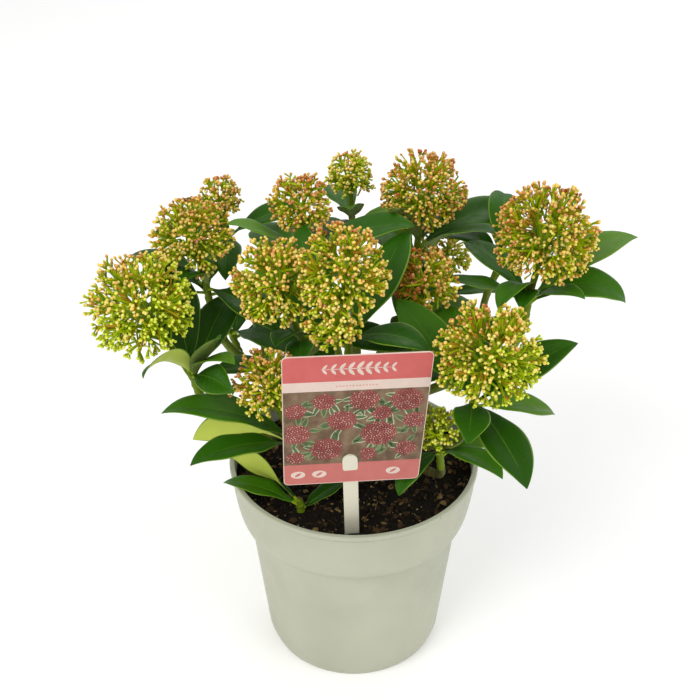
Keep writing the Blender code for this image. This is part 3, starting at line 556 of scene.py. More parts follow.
def stick_material(name):
    """White moulded plastic, soiled near its foot."""
    shading = Shading(name, 0.42, 0.45)
    low = shading.range(shading.height(), 105.0 * MM, 114.0 * MM, 0.16, 0.0)
    specks = shading.noise(1.6 * MM, 6.0, 0.65)
    dirt = shading.range(shading.add(specks, low), 0.68, 0.90, 0.0, 0.8)
    shading.set("Base Color", shading.blend(dirt, (206, 202, 182), (84, 68, 44)))
    shading.set("Roughness", shading.range(specks, 0.3, 0.7, 0.36, 0.55))
    shading.bump(shading.noise(1.0 * MM, 3.0), 0.03 * MM, 0.4)
    return shading.material


def floor_material(name):
    """The plain pale floor."""
    shading = Shading(name, 0.9, 0.1)
    shading.set("Base Color", (0.93, 0.93, 0.93, 1.0))
    shading.set("Emission Color", (1.0, 1.0, 1.0, 1.0))
    shading.set("Emission Strength", 0.10)
    return shading.material


MAKERS = {
    **dict.fromkeys(PALETTE, growth_material),
    **dict.fromkeys(LEAF_SIDES, leaf_material),
    **dict.fromkeys(EARTHS, earth_material),
    **dict.fromkeys(INKS, ink_material),
    "pot_plastic": pot_material,
    "stem_bark": bark_material,
    "stick_plastic": stick_material,
    "studio_floor": floor_material,
}


@functools.cache
def finish(name):
    """A material by its name, made the first time that it is asked for."""
    return MAKERS[name](name)


# ---- Meshes from arrays ----


class Heap:
    """Many closed pieces of one kind, gathered into one mesh with several finishes."""

    def __init__(self, name, *finishes):
        self.name = name
        self.finishes = list(finishes)
        self.points = []
        self.corners = []
        self.sizes = []
        self.marks = []
        self.blade = []
        self.count = 0

    def mark(self, name):
        """The number of a finish on this mesh."""
        if name not in self.finishes:
            self.finishes.append(name)
        return self.finishes.index(name)

    def add(self, points, *blocks, blade=None):
        """Points, then (faces, marks) blocks whose faces all have as many corners."""
        if isinstance(points, list):
            points = [tuple(point) for point in points]
        points = np.asarray(points, dtype=np.float64).reshape(-1, 3)
        self.points.append(points)
        self.blade.append(np.zeros_like(points) if blade is None else blade.reshape(-1, 3))
        for faces, marks in blocks:
            faces = np.asarray(faces, dtype=np.int64)
            self.corners.append((faces + self.count).reshape(-1))
            self.sizes.append(np.full(len(faces), faces.shape[1], dtype=np.int64))
            self.marks.append(np.broadcast_to(marks, len(faces)).astype(np.int64))
        self.count += len(points)

    def add_rings(self, points, sides, mark=0):
        """Rings of points that make one skin, closed flat at both ends."""
        side = np.arange(sides)
        rings = len(points) // sides
        self.add(points, (ring_faces(rings, sides), mark), ([side[::-1], (rings - 1) * sides + side], mark))

    def build(self, node, smooth=True):
        """The finished object, riding the body and standing for its node."""
        mesh = bpy.data.meshes.new(self.name)
        points = np.concatenate(self.points)
        corners = np.concatenate(self.corners)
        sizes = np.concatenate(self.sizes)
        mesh.vertices.add(len(points))
        mesh.vertices.foreach_set("co", points.reshape(-1))
        mesh.loops.add(len(corners))
        mesh.loops.foreach_set("vertex_index", corners)
        mesh.polygons.add(len(sizes))
        mesh.polygons.foreach_set("loop_start", np.concatenate(([0], np.cumsum(sizes)[:-1])))
        mesh.polygons.foreach_set("material_index", np.concatenate(self.marks))
        mesh.polygons.foreach_set("use_smooth", np.full(len(sizes), smooth))
        if any(block.any() for block in self.blade):
            layer = mesh.attributes.new("blade", "FLOAT_VECTOR", "POINT")
            layer.data.foreach_set("vector", np.concatenate(self.blade).reshape(-1))
        mesh.update(calc_edges=True)
        mesh.validate()
        for name in self.finishes:
            mesh.materials.append(finish(name))
        return placed(self.name, mesh, node)


def linked(name, data):
    """An object for the data, in the scene."""
    item = bpy.data.objects.new(name, data)
    bpy.context.scene.collection.objects.link(item)
    return item


def placed(name, mesh, node):
    """An object for a mesh that rides the one body and stands for a CAD node."""
    piece = linked(name, mesh)
    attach(piece, "root")
    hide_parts(node)
    return piece


def seeded(*words):
    """Number dice for arrays, the same on every run."""
    return np.random.default_rng(zlib.crc32(" ".join(map(str, (SEED, *words))).encode()))


def dice_for(*words):
    """Plain dice for a use; a leaf's or a head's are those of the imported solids."""
    return random.Random(" ".join(map(str, (SEED, *words))))


def spun(radius, turn):
    """A point on a circle round the origin, as x and y."""
    return radius * math.cos(turn), radius * math.sin(turn)


def full_turn(steps):
    """The angles of so many even steps round a circle."""
    return [TAU * step / steps for step in range(steps)]


def unit(vectors):
    """Vectors of length one."""
    return vectors / np.maximum(np.linalg.norm(vectors, axis=-1, keepdims=True), 1e-12)


def across_from(ways):
    """A direction square to each of many."""
    return unit(np.cross(ways, np.where(np.abs(ways[:, 2:]) > 0.8, [[1.0, 0.0, 0.0]], [[0.0, 0.0, 1.0]])))


def ring_faces(rings, sides, first=0):
    """The four-cornered faces between closed rings of points."""
    ring, side = np.meshgrid(np.arange(rings - 1), np.arange(sides), indexing="ij")
    after = (side + 1) % sides
    faces = np.stack((
        ring * sides + side, ring * sides + after,
        (ring + 1) * sides + after, (ring + 1) * sides + side,
    ), axis=-1)
    return faces.reshape(-1, 4) + first


def add_tubes(heap, marks, starts, middles, ends, first_radii, last_radii, sides=5, rings=4):
    """Bent tapering tubes, all at once, each with its own mark or all with one."""
    count = len(starts)
    t = np.linspace(0.0, 1.0, rings)[None, :, None]
    s = 1.0 - t
    line = starts[:, None] * s * s + middles[:, None] * 2.0 * s * t + ends[:, None] * t * t
    way = unit((middles - starts)[:, None] * s + (ends - middles)[:, None] * t + 1e-9)
    helper = np.where(np.abs(unit(ends - starts)[:, 2:]) > 0.8, [[1.0, 0.0, 0.0]], [[0.0, 0.0, 1.0]])
    across = unit(np.cross(way, helper[:, None]))
    above = np.cross(way, across)
    first_radii = np.broadcast_to(first_radii, count)[:, None, None]
    last_radii = np.broadcast_to(last_radii, count)[:, None, None]
    radii = first_radii + (last_radii - first_radii) * t
    turn = TAU * np.arange(sides) / sides
    circle = across[:, :, None] * np.cos(turn)[:, None] + above[:, :, None] * np.sin(turn)[:, None]
    points = line[:, :, None] + circle * radii[:, :, None]
    walls = ring_faces(rings, sides)[:, ::-1]
    caps = np.array([np.arange(sides), (rings * sides - 1) - np.arange(sides)])
    step = rings * sides * np.arange(count)[:, None, None]
    marks = np.broadcast_to(marks, count)
    heap.add(points, *(
        ((faces[None] + step).reshape(-1, faces.shape[1]), np.repeat(marks, len(faces)))
        for faces in (walls, caps)
    ))


def smooth_line(points, radii, finer):
    """A polyline rounded into a curve that still passes through its points."""
    values = np.column_stack((np.array(points, dtype=np.float64), radii))
    padded = np.vstack((2 * values[0] - values[1], values, 2 * values[-1] - values[-2]))
    out = []
    for index in range(len(values) - 1):
        a, b, c, d = padded[index:index + 4]
        for t in np.arange(finer) / finer:
            out.append(0.5 * (
                2 * b + (c - a) * t + (2 * a - 5 * b + 4 * c - d) * t * t
                + (3 * b - a - 3 * c + d) * t ** 3
            ))
    out = np.array([*out, values[-1]])
    return out[:, :3], out[:, 3]


def carried_frames(line):
    """Directions across and above a curve, turning as little as they can."""
    ways = unit(np.gradient(line, axis=0))
    across = unit(np.cross(ways[0], [0.0, 1.0, 0.2]))
    for way in ways:
        across = unit(across - way * across.dot(way))
        yield across, np.cross(way, across)


def stem_relief(distance, turn, place, radius, nodes):
    """How far a stem's skin stands out: furrows, and a swelling at each node."""
    furrow = 0.05 * radius * noise.noise(Vector((*spun(3.0, turn), 90.0 * distance)))
    grain = 0.025 * radius * noise.noise(place * 1400.0)
    swelling = 0.0
    for height, way in nodes:
        near = math.exp(-((distance - height) / (1.1 * MM)) ** 2)
        swelling = max(swelling, near * (0.10 + 0.16 * max(0.0, math.cos(turn - way))))
    return furrow + grain + swelling * radius


def add_stem(heap, points, radii, sides, finer, dice, node_gap=8.0 * MM):
    """A stem with its relief, closed at both ends."""
    line, thick = smooth_line(points, radii, finer)
    along = np.concatenate(([0.0], np.cumsum(np.linalg.norm(np.diff(line, axis=0), axis=1))))
    nodes = []
    height = node_gap * dice.uniform(0.5, 1.0)
    while height < along[-1]:
        nodes.append((height, dice.uniform(0.0, TAU)))
        height += node_gap * dice.uniform(0.7, 1.3)
    rings = []
    for distance, centre, radius, (across, above) in zip(along, line, thick, carried_frames(line)):
        for turn in full_turn(sides):
            way = across * math.cos(turn) + above * math.sin(turn)
            rise = stem_relief(distance, turn, Vector(centre + way * radius), radius, nodes)
            rings.append(centre + way * (radius + rise))
    heap.add_rings(rings, sides)


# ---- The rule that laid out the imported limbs, leaves and heads ----


def bezier_points(start, start_handle, end_handle, end, count):
    """Points along a cubic curve."""
    points = []
    for index in range(count):
        t = index / (count - 1.0)
        s = 1.0 - t
        point = start * s ** 3 + start_handle * 3.0 * s * s * t
        points.append(point + end_handle * 3.0 * s * t * t + end * t ** 3)
    return points


def growth_direction(shoot):
    """The way a shoot's twig points: up, and toward its flower head."""
    if not shoot.head:
        return (UP + 0.5 * Vector((*shoot.whorl[:2], 0.0)).normalized()).normalized()
    toward = Vector(shoot.head) - Vector(shoot.whorl)
    return (UP * 0.6 + toward.normalized()).normalized()


def twig_start(shoot):
    """Where a shoot's twig begins: on the soil, or at its bough's tip."""
    if shoot.parent == "soil":
        return Vector((shoot.whorl[0] * MM, shoot.whorl[1] * MM, SOIL_HEIGHT + GAP))
    return Vector(shoot.whorl) * MM - growth_direction(shoot) * TWIG_LENGTH


def main_stem_line():
    """Points and radii of the main stem, with the flare at its foot."""
    points = []
    radii = []
    for index in range(MAIN_STEM_RINGS):
        t = (index / (MAIN_STEM_RINGS - 1.0)) ** 1.4
        point = MAIN_STEM_FOOT.lerp(MAIN_STEM_TOP, t) + MAIN_STEM_BOW * math.sin(math.pi * t)
        if index == 1:
            point = MAIN_STEM_FOOT + UP * (point.z - MAIN_STEM_FOOT.z)
        points.append(point)
        height = point.z - MAIN_STEM_FOOT.z
        radius = MAIN_STEM_RADIUS + t * (MAIN_STEM_TOP_RADIUS - MAIN_STEM_RADIUS)
        radii.append(radius + MAIN_STEM_FLARE * math.exp(-height / MAIN_STEM_FLARE_HEIGHT))
    return points, radii


def point_along(line, share):
    """Place, direction and radius at a share of the way along a limb's line."""
    points, radii = line
    place = share * (len(points) - 1)
    index = min(int(place), len(points) - 2)
    step = points[index + 1] - points[index]
    radius = radii[index] + (radii[index + 1] - radii[index]) * (place - index)
    return points[index] + step * (place - index), step.normalized(), radius


def bough_line(shoot, lines):
    """Points and radii of the bough that carries a shoot."""
    start, parent_way, parent_radius = point_along(lines[shoot.parent], shoot.along)
    grow = growth_direction(shoot)
    end = twig_start(shoot) - grow * GAP
    base = min(BOUGH_RADIUS, SIDE_BOUGH_SHARE * parent_radius)
    if shoot.along == 1.0:
        start = start + parent_way * GAP
        leave = parent_way
        base = MAIN_STEM_TOP_RADIUS - TOP_BOUGH_STEP
    else:
        out = end - start
        out = (out - parent_way * out.dot(parent_way)).normalized()
        leave = (out + SIDE_BOUGH_SLANT * parent_way).normalized()
    first = start + leave * 2.0 * TWIG_RADIUS
    last = end - grow * 2.0 * TWIG_RADIUS
    swing = BOUGH_SWING * (last - first).length
    upturn = min(swing, max(0.25 * swing, BOUGH_UPTURN * (last.z - first.z)))
    curve = bezier_points(first, first + leave * swing, last - grow * upturn, last, BOUGH_RINGS - 2)
    shares = [ring / (BOUGH_RINGS - 1.0) for ring in range(BOUGH_RINGS)]
    return [start, *curve, end], [base + (TWIG_RADIUS - base) * share ** 0.8 for share in shares]


def leaf_outline(share):
    """Half the leaf's width at a share of its length, one at the widest."""
    if share < LEAF_STALK_SHARE:
        return LEAF_STALK_WIDTH
    blade = (share - LEAF_STALK_SHARE) / (1.0 - LEAF_STALK_SHARE)
    shape = max(0.0, math.sin(math.pi * min(1.0, blade ** 1.12))) ** 0.85
    return max(LEAF_STALK_WIDTH * (1.0 - blade), shape)


def leaf_frame(leaf, share):
    """The midrib's place at a share of the leaf's length, with side and normal."""
    compass = math.radians(leaf.compass)
    rise = math.radians(leaf.rise)
    bend = math.radians(max(leaf.bend, 1.0))
    now = rise - bend * share
    out = leaf.length * MM / bend * (math.sin(rise) - math.sin(now))
    height = leaf.length * MM / bend * (math.cos(now) - math.cos(rise))
    ahead = Vector((math.cos(compass), math.sin(compass), 0.0))
    side = Vector((-math.sin(compass), math.cos(compass), 0.0))
    along = ahead * math.cos(now) + UP * math.sin(now)
    turned = math.radians(leaf.roll) * share * (2.0 - share)
    turn = Matrix.Rotation(turned, 3, along)
    normal = turn @ (UP * math.cos(now) - ahead * math.sin(now))
    return leaf.base + ahead * out + UP * height, turn @ side, normal


def leaf_choices(leaf, dice):
    """The leaf as asked, then near alternatives, each a little further off."""
    yield leaf
    for step in range(1, LEAF_VARIANTS):
        yield leaf._replace(
            compass=leaf.compass + dice.uniform(-2.2, 2.2) * step,
            rise=leaf.rise + dice.uniform(-1.6, 1.6) * step,
            length=leaf.length * (1.0 - 0.02 * step),
            roll=leaf.roll + dice.uniform(-2.0, 2.0) * step,
        )


def leaf_root(shoot, index):
    """Where a leaf springs from the twig: the whorl spreads a few millimetres."""
    whorl = Vector(shoot.whorl) * MM
    down = (twig_start(shoot) - whorl).normalized()
    return whorl + down * (LEAF_SPACING * (index % 4 + 0.4))


def widest_gap(compasses):
    """The middle of the widest gap between leaves round a twig."""
    ring = sorted(compass % 360.0 for compass in compasses)
    return max((b - a, (a + b) / 2.0) for a, b in zip(ring, ring[1:] + [ring[0] + 360.0]))[1]


def is_in_crown(leaf):
    """Whether a leaf's tip keeps inside the crown, a round bowl that widens upward."""
    tip = leaf_frame(leaf, 1.0)[0]
    reach = CROWN_REACH + CROWN_FLARE * (tip.z - CROWN_HEIGHT)
    return math.hypot(tip.x, (tip.y - CROWN_CENTRE_Y) / CROWN_DEPTH_SHARE) <= reach


def wanted_leaves(shoot):
    """Each leaf that the rule asks for on a shoot, with the dice of its variants."""
    rows = SHOWN_LEAVES.get(shoot.name, ())
    for index, (compass, rise, length, bend) in enumerate(rows):
        dice = dice_for(shoot.name, index)
        roll = ROLLED_LEAVES.get((shoot.name, index), dice.uniform(-LEAF_ROLL, LEAF_ROLL))
        yield Leaf(leaf_root(shoot, index), compass, rise, length, bend, roll), dice
    taken = [row[0] for row in rows] or [dice_for(shoot.name, "first").uniform(0.0, 360.0)]
    for index in range(len(rows), len(rows) + shoot.fill):
        dice = dice_for(shoot.name, index)
        compass = widest_gap(taken) + dice.uniform(-12.0, 12.0)
        taken.append(compass)
        leaf = Leaf(
            leaf_root(shoot, index), compass, dice.uniform(5.0, 38.0),
            dice.uniform(50.0, 64.0), dice.uniform(35.0, 70.0), dice.uniform(-LEAF_ROLL, LEAF_ROLL),
        )
        while leaf.length > SHORTEST_LEAF and not is_in_crown(leaf):
            leaf = leaf._replace(rise=leaf.rise + 3.0, length=leaf.length * 0.96)
        if is_in_crown(leaf):
            yield leaf, dice


def placed_leaves(shoot):
    """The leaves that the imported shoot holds, each the variant whose tip is there."""
    vertices = frame["nodes"]["shoot_" + shoot.name].data.vertices
    tips = kdtree.KDTree(len(vertices))
    for vertex in vertices:
        tips.insert(vertex.co, vertex.index)
    tips.balance()
    for place, (wanted, dice) in enumerate(wanted_leaves(shoot)):
        for leaf in leaf_choices(wanted, dice):
            if tips.find(leaf_frame(leaf, 1.0)[0])[2] < TIP_MATCH:
                yield place, leaf
                break


# ---- Leaves ----


def hooked_frame(leaf, share):
    """The leaf's frame once its tip is bent down into a small hook."""
    place, side, normal = leaf_frame(leaf, min(share, 1.0))
    hook = max(0.0, (share - HOOK_START) / (1.0 - HOOK_START))
    return place - normal * (TIP_HOOK * leaf.length * MM * hook * hook), side, normal


def blade_thickness(share):
    """How thick a blade is beside its midrib, at a share of its length."""
    return BLADE_THICKNESS * (0.35 + 0.65 * (1.0 - share))


def blade_ring(leaf, share, wave, phase, skew):
    """One ring of a leaf's points: over its upper side, then back under it."""
    place, side, normal = hooked_frame(leaf, share)
    width = leaf_outline(share) * leaf.length * MM * LEAF_WIDTH_SHARE / 2.0
    opened = min(1.0, max(0.0, (share - 0.04) / 0.13))
    opened = opened * opened * (3.0 - 2.0 * opened)
    petiole = PETIOLE_RADIUS * (1.25 - 2.4 * min(share, 0.16))
    points = []
    for index, across in enumerate((*BLADE_ACROSS, *BLADE_UNDER)):
        upper = 1.0 if index < len(BLADE_ACROSS) else -1.0
        centre = max(0.0, 1.0 - abs(across) * width / MIDRIB_HALF) if width > 0.0 else 0.0
        fold = LEAF_FOLD * width * (math.sqrt(across * across + 0.03) - 0.17)
        curl = -0.12 * width * max(0.0, abs(across) - 0.72) / 0.28
        ripple = wave * leaf.length * MM * math.sin(phase + share * 17.0 + (1.6 if across > 0 else 0.0))
        lift = fold + curl + ripple * across * across * (1.0 - share)
        lift += upper * 0.5 * blade_thickness(share) * (1.0 - across ** 4)
        if upper > 0.0:
            lift -= MIDRIB_SINK * centre * (1.0 - 0.6 * share)
        else:
            lift -= RIB_RISE * centre * (1.0 - 0.7 * share)
        blade = side * (across * width * (1.0 + skew * across)) + normal * lift
        x, y = spun(petiole, upper * math.pi * (0.5 - 0.5 * across))
        points.append(place + (side * x + normal * (0.85 * y)).lerp(blade, opened))
    return points


def blade_strips(heap, upper, under):
    """The mark of each lengthwise strip of a leaf, round from its left margin."""
    top = len(BLADE_ACROSS) - 1
    strips = np.repeat((heap.mark(upper), heap.mark(under)), (top, len(BLADE_UNDER) + 1))
    strips[[0, top - 1, top, -1]] = heap.mark("leaf_margin")
    return strips


def add_leaf(heap, leaf, upper, under, dice):
    """A thin closed blade with its margin, sunk midrib, rib below and stalk."""
    values = (MARGIN_WAVE * dice.uniform(0.15, 0.6), dice.uniform(0.0, 6.28), dice.uniform(-0.05, 0.05))
    tint = dice.random()
    shares = [0.006 + 0.988 * (index / (BLADE_STATIONS - 1.0)) ** 0.92 for index in range(BLADE_STATIONS)]
    points = [point for share in shares for point in blade_ring(leaf, share, *values)]
    coords = [(share, across, tint) for share in shares for across in (*BLADE_ACROSS, *BLADE_UNDER)]
    sides = len(BLADE_ACROSS) + len(BLADE_UNDER)
    tip, _, normal = leaf_frame(leaf, 1.0)
    points.append(tip - normal * (TIP_HOOK * leaf.length * MM * 1.05))
    coords.append((1.0, 0.0, tint))
    strips = blade_strips(heap, upper, under)
    wall_marks = np.tile(strips, (BLADE_STATIONS - 1, 1))
    wall_marks[:sum(share < STALK_END for share in shares)] = heap.mark("petiole")
    walls = ring_faces(BLADE_STATIONS, sides)[:, ::-1]
    last = (BLADE_STATIONS - 1) * sides
    fan = [(last + side, len(points) - 1, last + (side + 1) % sides) for side in range(sides)]
    heap.add(
        points, (walls, wall_marks.reshape(-1)), (fan, strips),
        ([list(range(sides))], heap.mark("petiole")), blade=np.array(coords),
    )
    add_midrib(heap, leaf, shares[4:-3:2])


def add_midrib(heap, leaf, shares):
    """The pale thread of the midrib, lying in its groove from stalk to tip."""
    points = []
    for share in shares:
        place, side, normal = hooked_frame(leaf, share)
        centre = place + normal * (0.5 * blade_thickness(share) - MIDRIB_SINK * (1.0 - 0.6 * share))
        for turn in full_turn(6):
            x, y = spun(0.30 * MM * (1.1 - share), turn)
            points.append(centre + side * x + normal * (0.6 * y))
    heap.add_rings(points, 6, heap.mark("leaf_midrib"))


def build_leaves(shoot):
    """All of a shoot's leaves as one piece, or nothing where it has none."""
    heap = Heap("leaves_" + shoot.name)
    for place, leaf in placed_leaves(shoot):
        dice = dice_for(shoot.name, "blade", place)
        upper = dice.choices(LEAF_UPPERS, (3, 5, 4, 2))[0]
        under = "leaf_under_pale" if (shoot.name, place) in PALE_LEAVES else "leaf_under_grey"
        add_leaf(heap, leaf, upper, under, dice)
    return heap.build("shoot_" + shoot.name) if heap.count else None


# ---- Flower heads ----


def spray_ways(shoot):
    """The directions and polar angles of a head's sprays by the rule, with its lean."""
    dice = dice_for(shoot.name, "head")
    axis = (Vector(shoot.head) - Vector(shoot.whorl)).normalized()
    lean = UP.rotation_difference((axis + UP).normalized())
    count = max(8, round(SPRAYS_ON_LARGEST * (shoot.radius / LARGEST_HEAD) ** 1.3))
    ways = []
    polars = []
    for index in range(count):
        polar = SPRAY_REACH * math.sqrt((index + 0.3) / count)
        turn = index * GOLDEN_TURN + dice.uniform(-0.2, 0.2)
        dice.uniform(0.88, 1.12)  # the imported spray's size
        ways.append(tuple(lean @ Vector((*spun(math.sin(polar), turn), math.cos(polar)))))
        polars.append(polar)
    return np.array(ways), np.array(polars), lean


def even_ways(count, lean, dice, jitter):
    """Directions spread evenly over a head, each a little off its place."""
    index = np.arange(count)
    polar = np.arccos(1.0 - (1.0 - math.cos(BUD_REACH)) * (index + 0.5) / count)
    turn = index * GOLDEN_TURN
    ways = np.stack((np.sin(polar) * np.cos(turn), np.sin(polar) * np.sin(turn), np.cos(polar)), axis=1)
    return unit(ways + dice.normal(0.0, jitter, ways.shape)) @ np.array(lean.to_matrix()).T


def bud_template():
    """A bud on its calyx, base at zero and one radius wide: points, then its five skins."""
    rings = ((-0.15, 0.40), (0.42, 0.86), (1.05, 1.0), (1.75, 0.74))
    points = [(0.0, 0.0, -0.25)]
    for level, (height, radius) in enumerate(rings):
        for side, turn in enumerate(full_turn(BUD_SIDES)):
            seam = side % 2
            lobed = radius * ((1.06, 0.93)[seam] if level == 1 else (1.0, 0.95)[seam])
            points.append((*spun(lobed, turn), height + (0.10 if level == 1 and not seam else 0.0)))
    points.append((0.0, 0.0, 2.10))
    calyx, bud, tip = ring_faces(len(rings), BUD_SIDES, 1).reshape(3, BUD_SIDES, 4)
    last = 1 + (len(rings) - 1) * BUD_SIDES
    sides = np.arange(BUD_SIDES)
    after = (sides + 1) % BUD_SIDES
    bottom = np.stack((np.zeros(BUD_SIDES, int), 1 + after, 1 + sides), axis=1)
    top = np.stack((last + sides, last + after, np.full(BUD_SIDES, len(points) - 1)), axis=1)
    return np.array(points), (calyx, bud, tip, bottom, top)


BUD_POINTS, BUD_SKINS = bud_template()


def add_buds(heap, bases, ways, radii, buds, tips, calyces):
    """Buds at their bases, pointing their ways, with the marks of their parts; the tips' marks are paler
    tones, a painted highlight.
    """
    across = across_from(ways)
    turns = np.stack((across, np.cross(ways, across), ways), axis=1)
    step = len(BUD_POINTS) * np.arange(len(bases))[:, None, None]
    heap.add(bases[:, None] + (BUD_POINTS @ turns) * radii[:, None, None], *(
        ((faces[None] + step).reshape(-1, faces.shape[1]), np.repeat(marks, len(faces)))
        for faces, marks in zip(BUD_SKINS, (calyces, buds, tips, calyces, tips))
    ))


def stalk_tones(warmth, dice):
    """Which tone each bud's stalk has, olive and rust the likelier where it is warm."""
    warm = np.clip(warmth, 0.0, 1.0)
    limits = np.cumsum((0.62 - 0.46 * warm, 0.28 - 0.14 * warm, 0.08 + 0.34 * warm), axis=0)
    return (dice.random(len(warm)) > limits).sum(axis=0)


def bud_shares(warmth):
    """How a spray's buds share out among the tones, by its warmth."""
    weights = np.exp(-((np.array(TONE_WARMTHS) - warmth) / TONE_SPREAD) ** 2)
    return weights / weights.sum()


class Head:
    """One flower head: its sprays, where its buds go and what carries them."""

    def __init__(self, shoot, blocked):
        self.name = shoot.name
        self.look = HEAD_LOOKS[shoot.name]
        self.dice = seeded(shoot.name, "buds")
        self.centre = np.array(shoot.head) * MM
        self.whorl = np.array(shoot.whorl) * MM
        self.radius = shoot.radius * MM
        self.sprays, self.polars, self.lean = spray_ways(shoot)
        self.blocked = blocked
        self.neighbours = [
            (Vector(other.head) * MM, other.radius * MM)
            for other in SHOOTS[:SHOOTS.index(shoot)] if other.head
        ]
        self.own = search_tree([frame["nodes"]["shoot_" + shoot.name]])
        self.place_buds(2.0 * math.pi * shoot.radius ** 2 * (1.0 - math.cos(BUD_REACH)))

    def place_buds(self, area):
        """Spread buds over the head, lumped round its sprays, clear of all else."""
        dice = self.dice
        count = int(area / self.look.area)
        ways = even_ways(count, self.lean, dice, 0.045)
        cymes = even_ways(max(8, int(count / BUDS_ON_CYME)), self.lean, dice, 0.09)
        cyme = (ways @ cymes.T).argmax(axis=1)
        ways = unit(ways + CYME_PULL * (cymes[cyme] - ways))
        facing = ways @ self.sprays.T
        off = np.arccos(np.clip(facing.max(axis=1), -1.0, 1.0))
        crest = np.exp(-(off / 0.38) ** 2)
        share = 1.0 - self.look.lump * (1.0 - crest) - 0.06 * dice.random(count) ** 2
        depth = CYME_DEPTH * dice.random(len(cymes)) ** 1.5
        share = share - depth[cyme]
        inner = dice.random(count) < INNER_SHARE
        share = np.where(inner, share - dice.uniform(0.10, 0.42, count), share)
        tips = self.centre + ways * (self.radius * share)[:, None]
        keep = np.array([self.is_free(Vector(tip)) for tip in tips])
        self.tips, self.ways, self.spray = tips[keep], ways[keep], facing.argmax(axis=1)[keep]
        self.inner, self.cyme = inner[keep], cyme[keep]
        self.cyme_ways = cymes
        self.cyme_reach = 1.0 - depth - 0.10
        self.cyme_warmth = dice.normal(0.0, 0.13, len(cymes))

    def is_free(self, tip):
        """Whether a bud there is on this shoot's own solid and clear of others."""
        if self.own.find_nearest(tip, 4.0 * MM)[0] is None:
            return False
        if any((tip - centre).length < NEIGHBOUR_SHARE * radius for centre, radius in self.neighbours):
            return False
        return self.blocked.find_nearest(tip, BUD_CLEARANCE)[0] is None

    def warmth(self, ways):
        """How warm each direction of the head is."""
        return self.look.warmth + self.look.gain * (ways @ np.array(Vector(self.look.way).normalized()))

    def add_stalks(self, heap):
        """Spray stalks from the twig, branchlets from those, and bud stalks."""
        marks = np.array([heap.mark(tone) for tone in STALK_TONES])
        used = np.unique(self.spray)
        rise = (0.95 - 0.45 * self.polars[used] / SPRAY_REACH)[:, None]
        starts = self.whorl + (self.centre - self.whorl) * rise
        forks = self.centre + self.sprays[used] * self.radius * FORK_SHARE
        bow = (starts + forks) / 2.0 + self.dice.normal(0.0, 0.6 * MM, forks.shape)
        add_tubes(heap, marks[1], starts, bow, forks, STALK_RADIUS * 1.3, STALK_RADIUS, sides=7, rings=6)
        self.add_branchlets(heap, marks, dict(zip(used, zip(starts, forks))))

    def add_branchlets(self, heap, marks, stalks):
        """A branchlet to each cyme, and from its end a stalk to every bud."""
        used = np.unique(self.cyme)
        nodes = self.centre + self.cyme_ways * (self.radius * (self.cyme_reach - 0.11))[:, None]
        spray = (self.cyme_ways @ self.sprays.T).argmax(axis=1)
        starts = []
        for cyme in used:
            nearest = spray[cyme]
            if nearest not in stalks:
                nearest = min(stalks, key=lambda key: np.linalg.norm(stalks[key][1] - nodes[cyme]))
            start, fork = stalks[nearest]
            starts.append(start + (fork - start) * self.dice.uniform(0.65, 1.0))
        starts = np.array(starts)
        ends = nodes[used]
        bow = starts + (ends - starts) * 0.5 + unit(starts - self.centre + 1e-9) * 0.8 * MM
        tones = self.dice.choice(marks, len(used), p=(0.52, 0.30, 0.14, 0.04))
        add_tubes(heap, tones, starts, bow, ends, BRANCHLET_RADIUS * 1.2, BRANCHLET_RADIUS * 0.85, rings=5)
        depth = self.dice.uniform(0.45, 0.85, len(self.cyme))[:, None]
        inward = self.centre + (nodes[self.cyme] - self.centre) * depth
        self.add_pedicels(heap, marks, np.where(self.inner[:, None], inward, nodes[self.cyme]))

    def add_pedicels(self, heap, marks, nodes):
        """The thin stalks from each branchlet's end to its buds."""
        warmth = self.warmth(self.ways)
        out = unit(self.tips - nodes)
        self.aim = unit(out * 0.8 + self.ways * 0.9 + self.dice.normal(0.0, 0.16, out.shape))
        swell = 0.90 + 0.12 * np.clip(warmth, 0, 1)
        self.sizes = BUD_RADIUS * self.dice.uniform(0.78, 1.14, len(out)) * swell
        self.bases = self.tips - self.aim * (self.sizes * 2.1)[:, None]
        bow = (nodes + self.bases) / 2.0 + self.aim * -0.5 * MM + self.dice.normal(0.0, 0.25 * MM, out.shape)
        tones = marks[stalk_tones(warmth, self.dice)]
        radii = (PEDICEL_RADIUS, PEDICEL_RADIUS * 1.3)
        add_tubes(heap, tones, nodes, bow, self.bases, *radii, sides=4, rings=3)

    def build_buds(self):
        """The head's buds as one piece."""
        heap = Heap("buds_" + self.name)
        # The tips' marks are the paler tip tones, a painted highlight on each bud
        buds, tips, calyces = (
            np.array([heap.mark(tone) for tone in tones]) for tones in (BUD_TONES, TIP_HIGHLIGHT_TONES, CALYX_TONES)
        )
        spray_warmth = self.warmth(self.sprays) + self.dice.normal(0.0, 0.08, len(self.sprays))
        warmth = 0.5 * spray_warmth[self.spray] + 0.5 * self.warmth(self.ways)
        warmth = warmth + self.cyme_warmth[self.cyme] - 0.22 * self.inner
        tones = np.array([self.dice.choice(len(buds), p=bud_shares(value)) for value in warmth])
        level = np.clip(warmth + self.dice.normal(0.0, 0.25, len(warmth)), 0.0, 1.0)
        calyces = calyces[np.digitize(level, (0.55, 0.85))]
        add_buds(heap, self.bases, self.aim, self.sizes, buds[tones], tips[tones], calyces)
        heap.build("shoot_" + self.name)


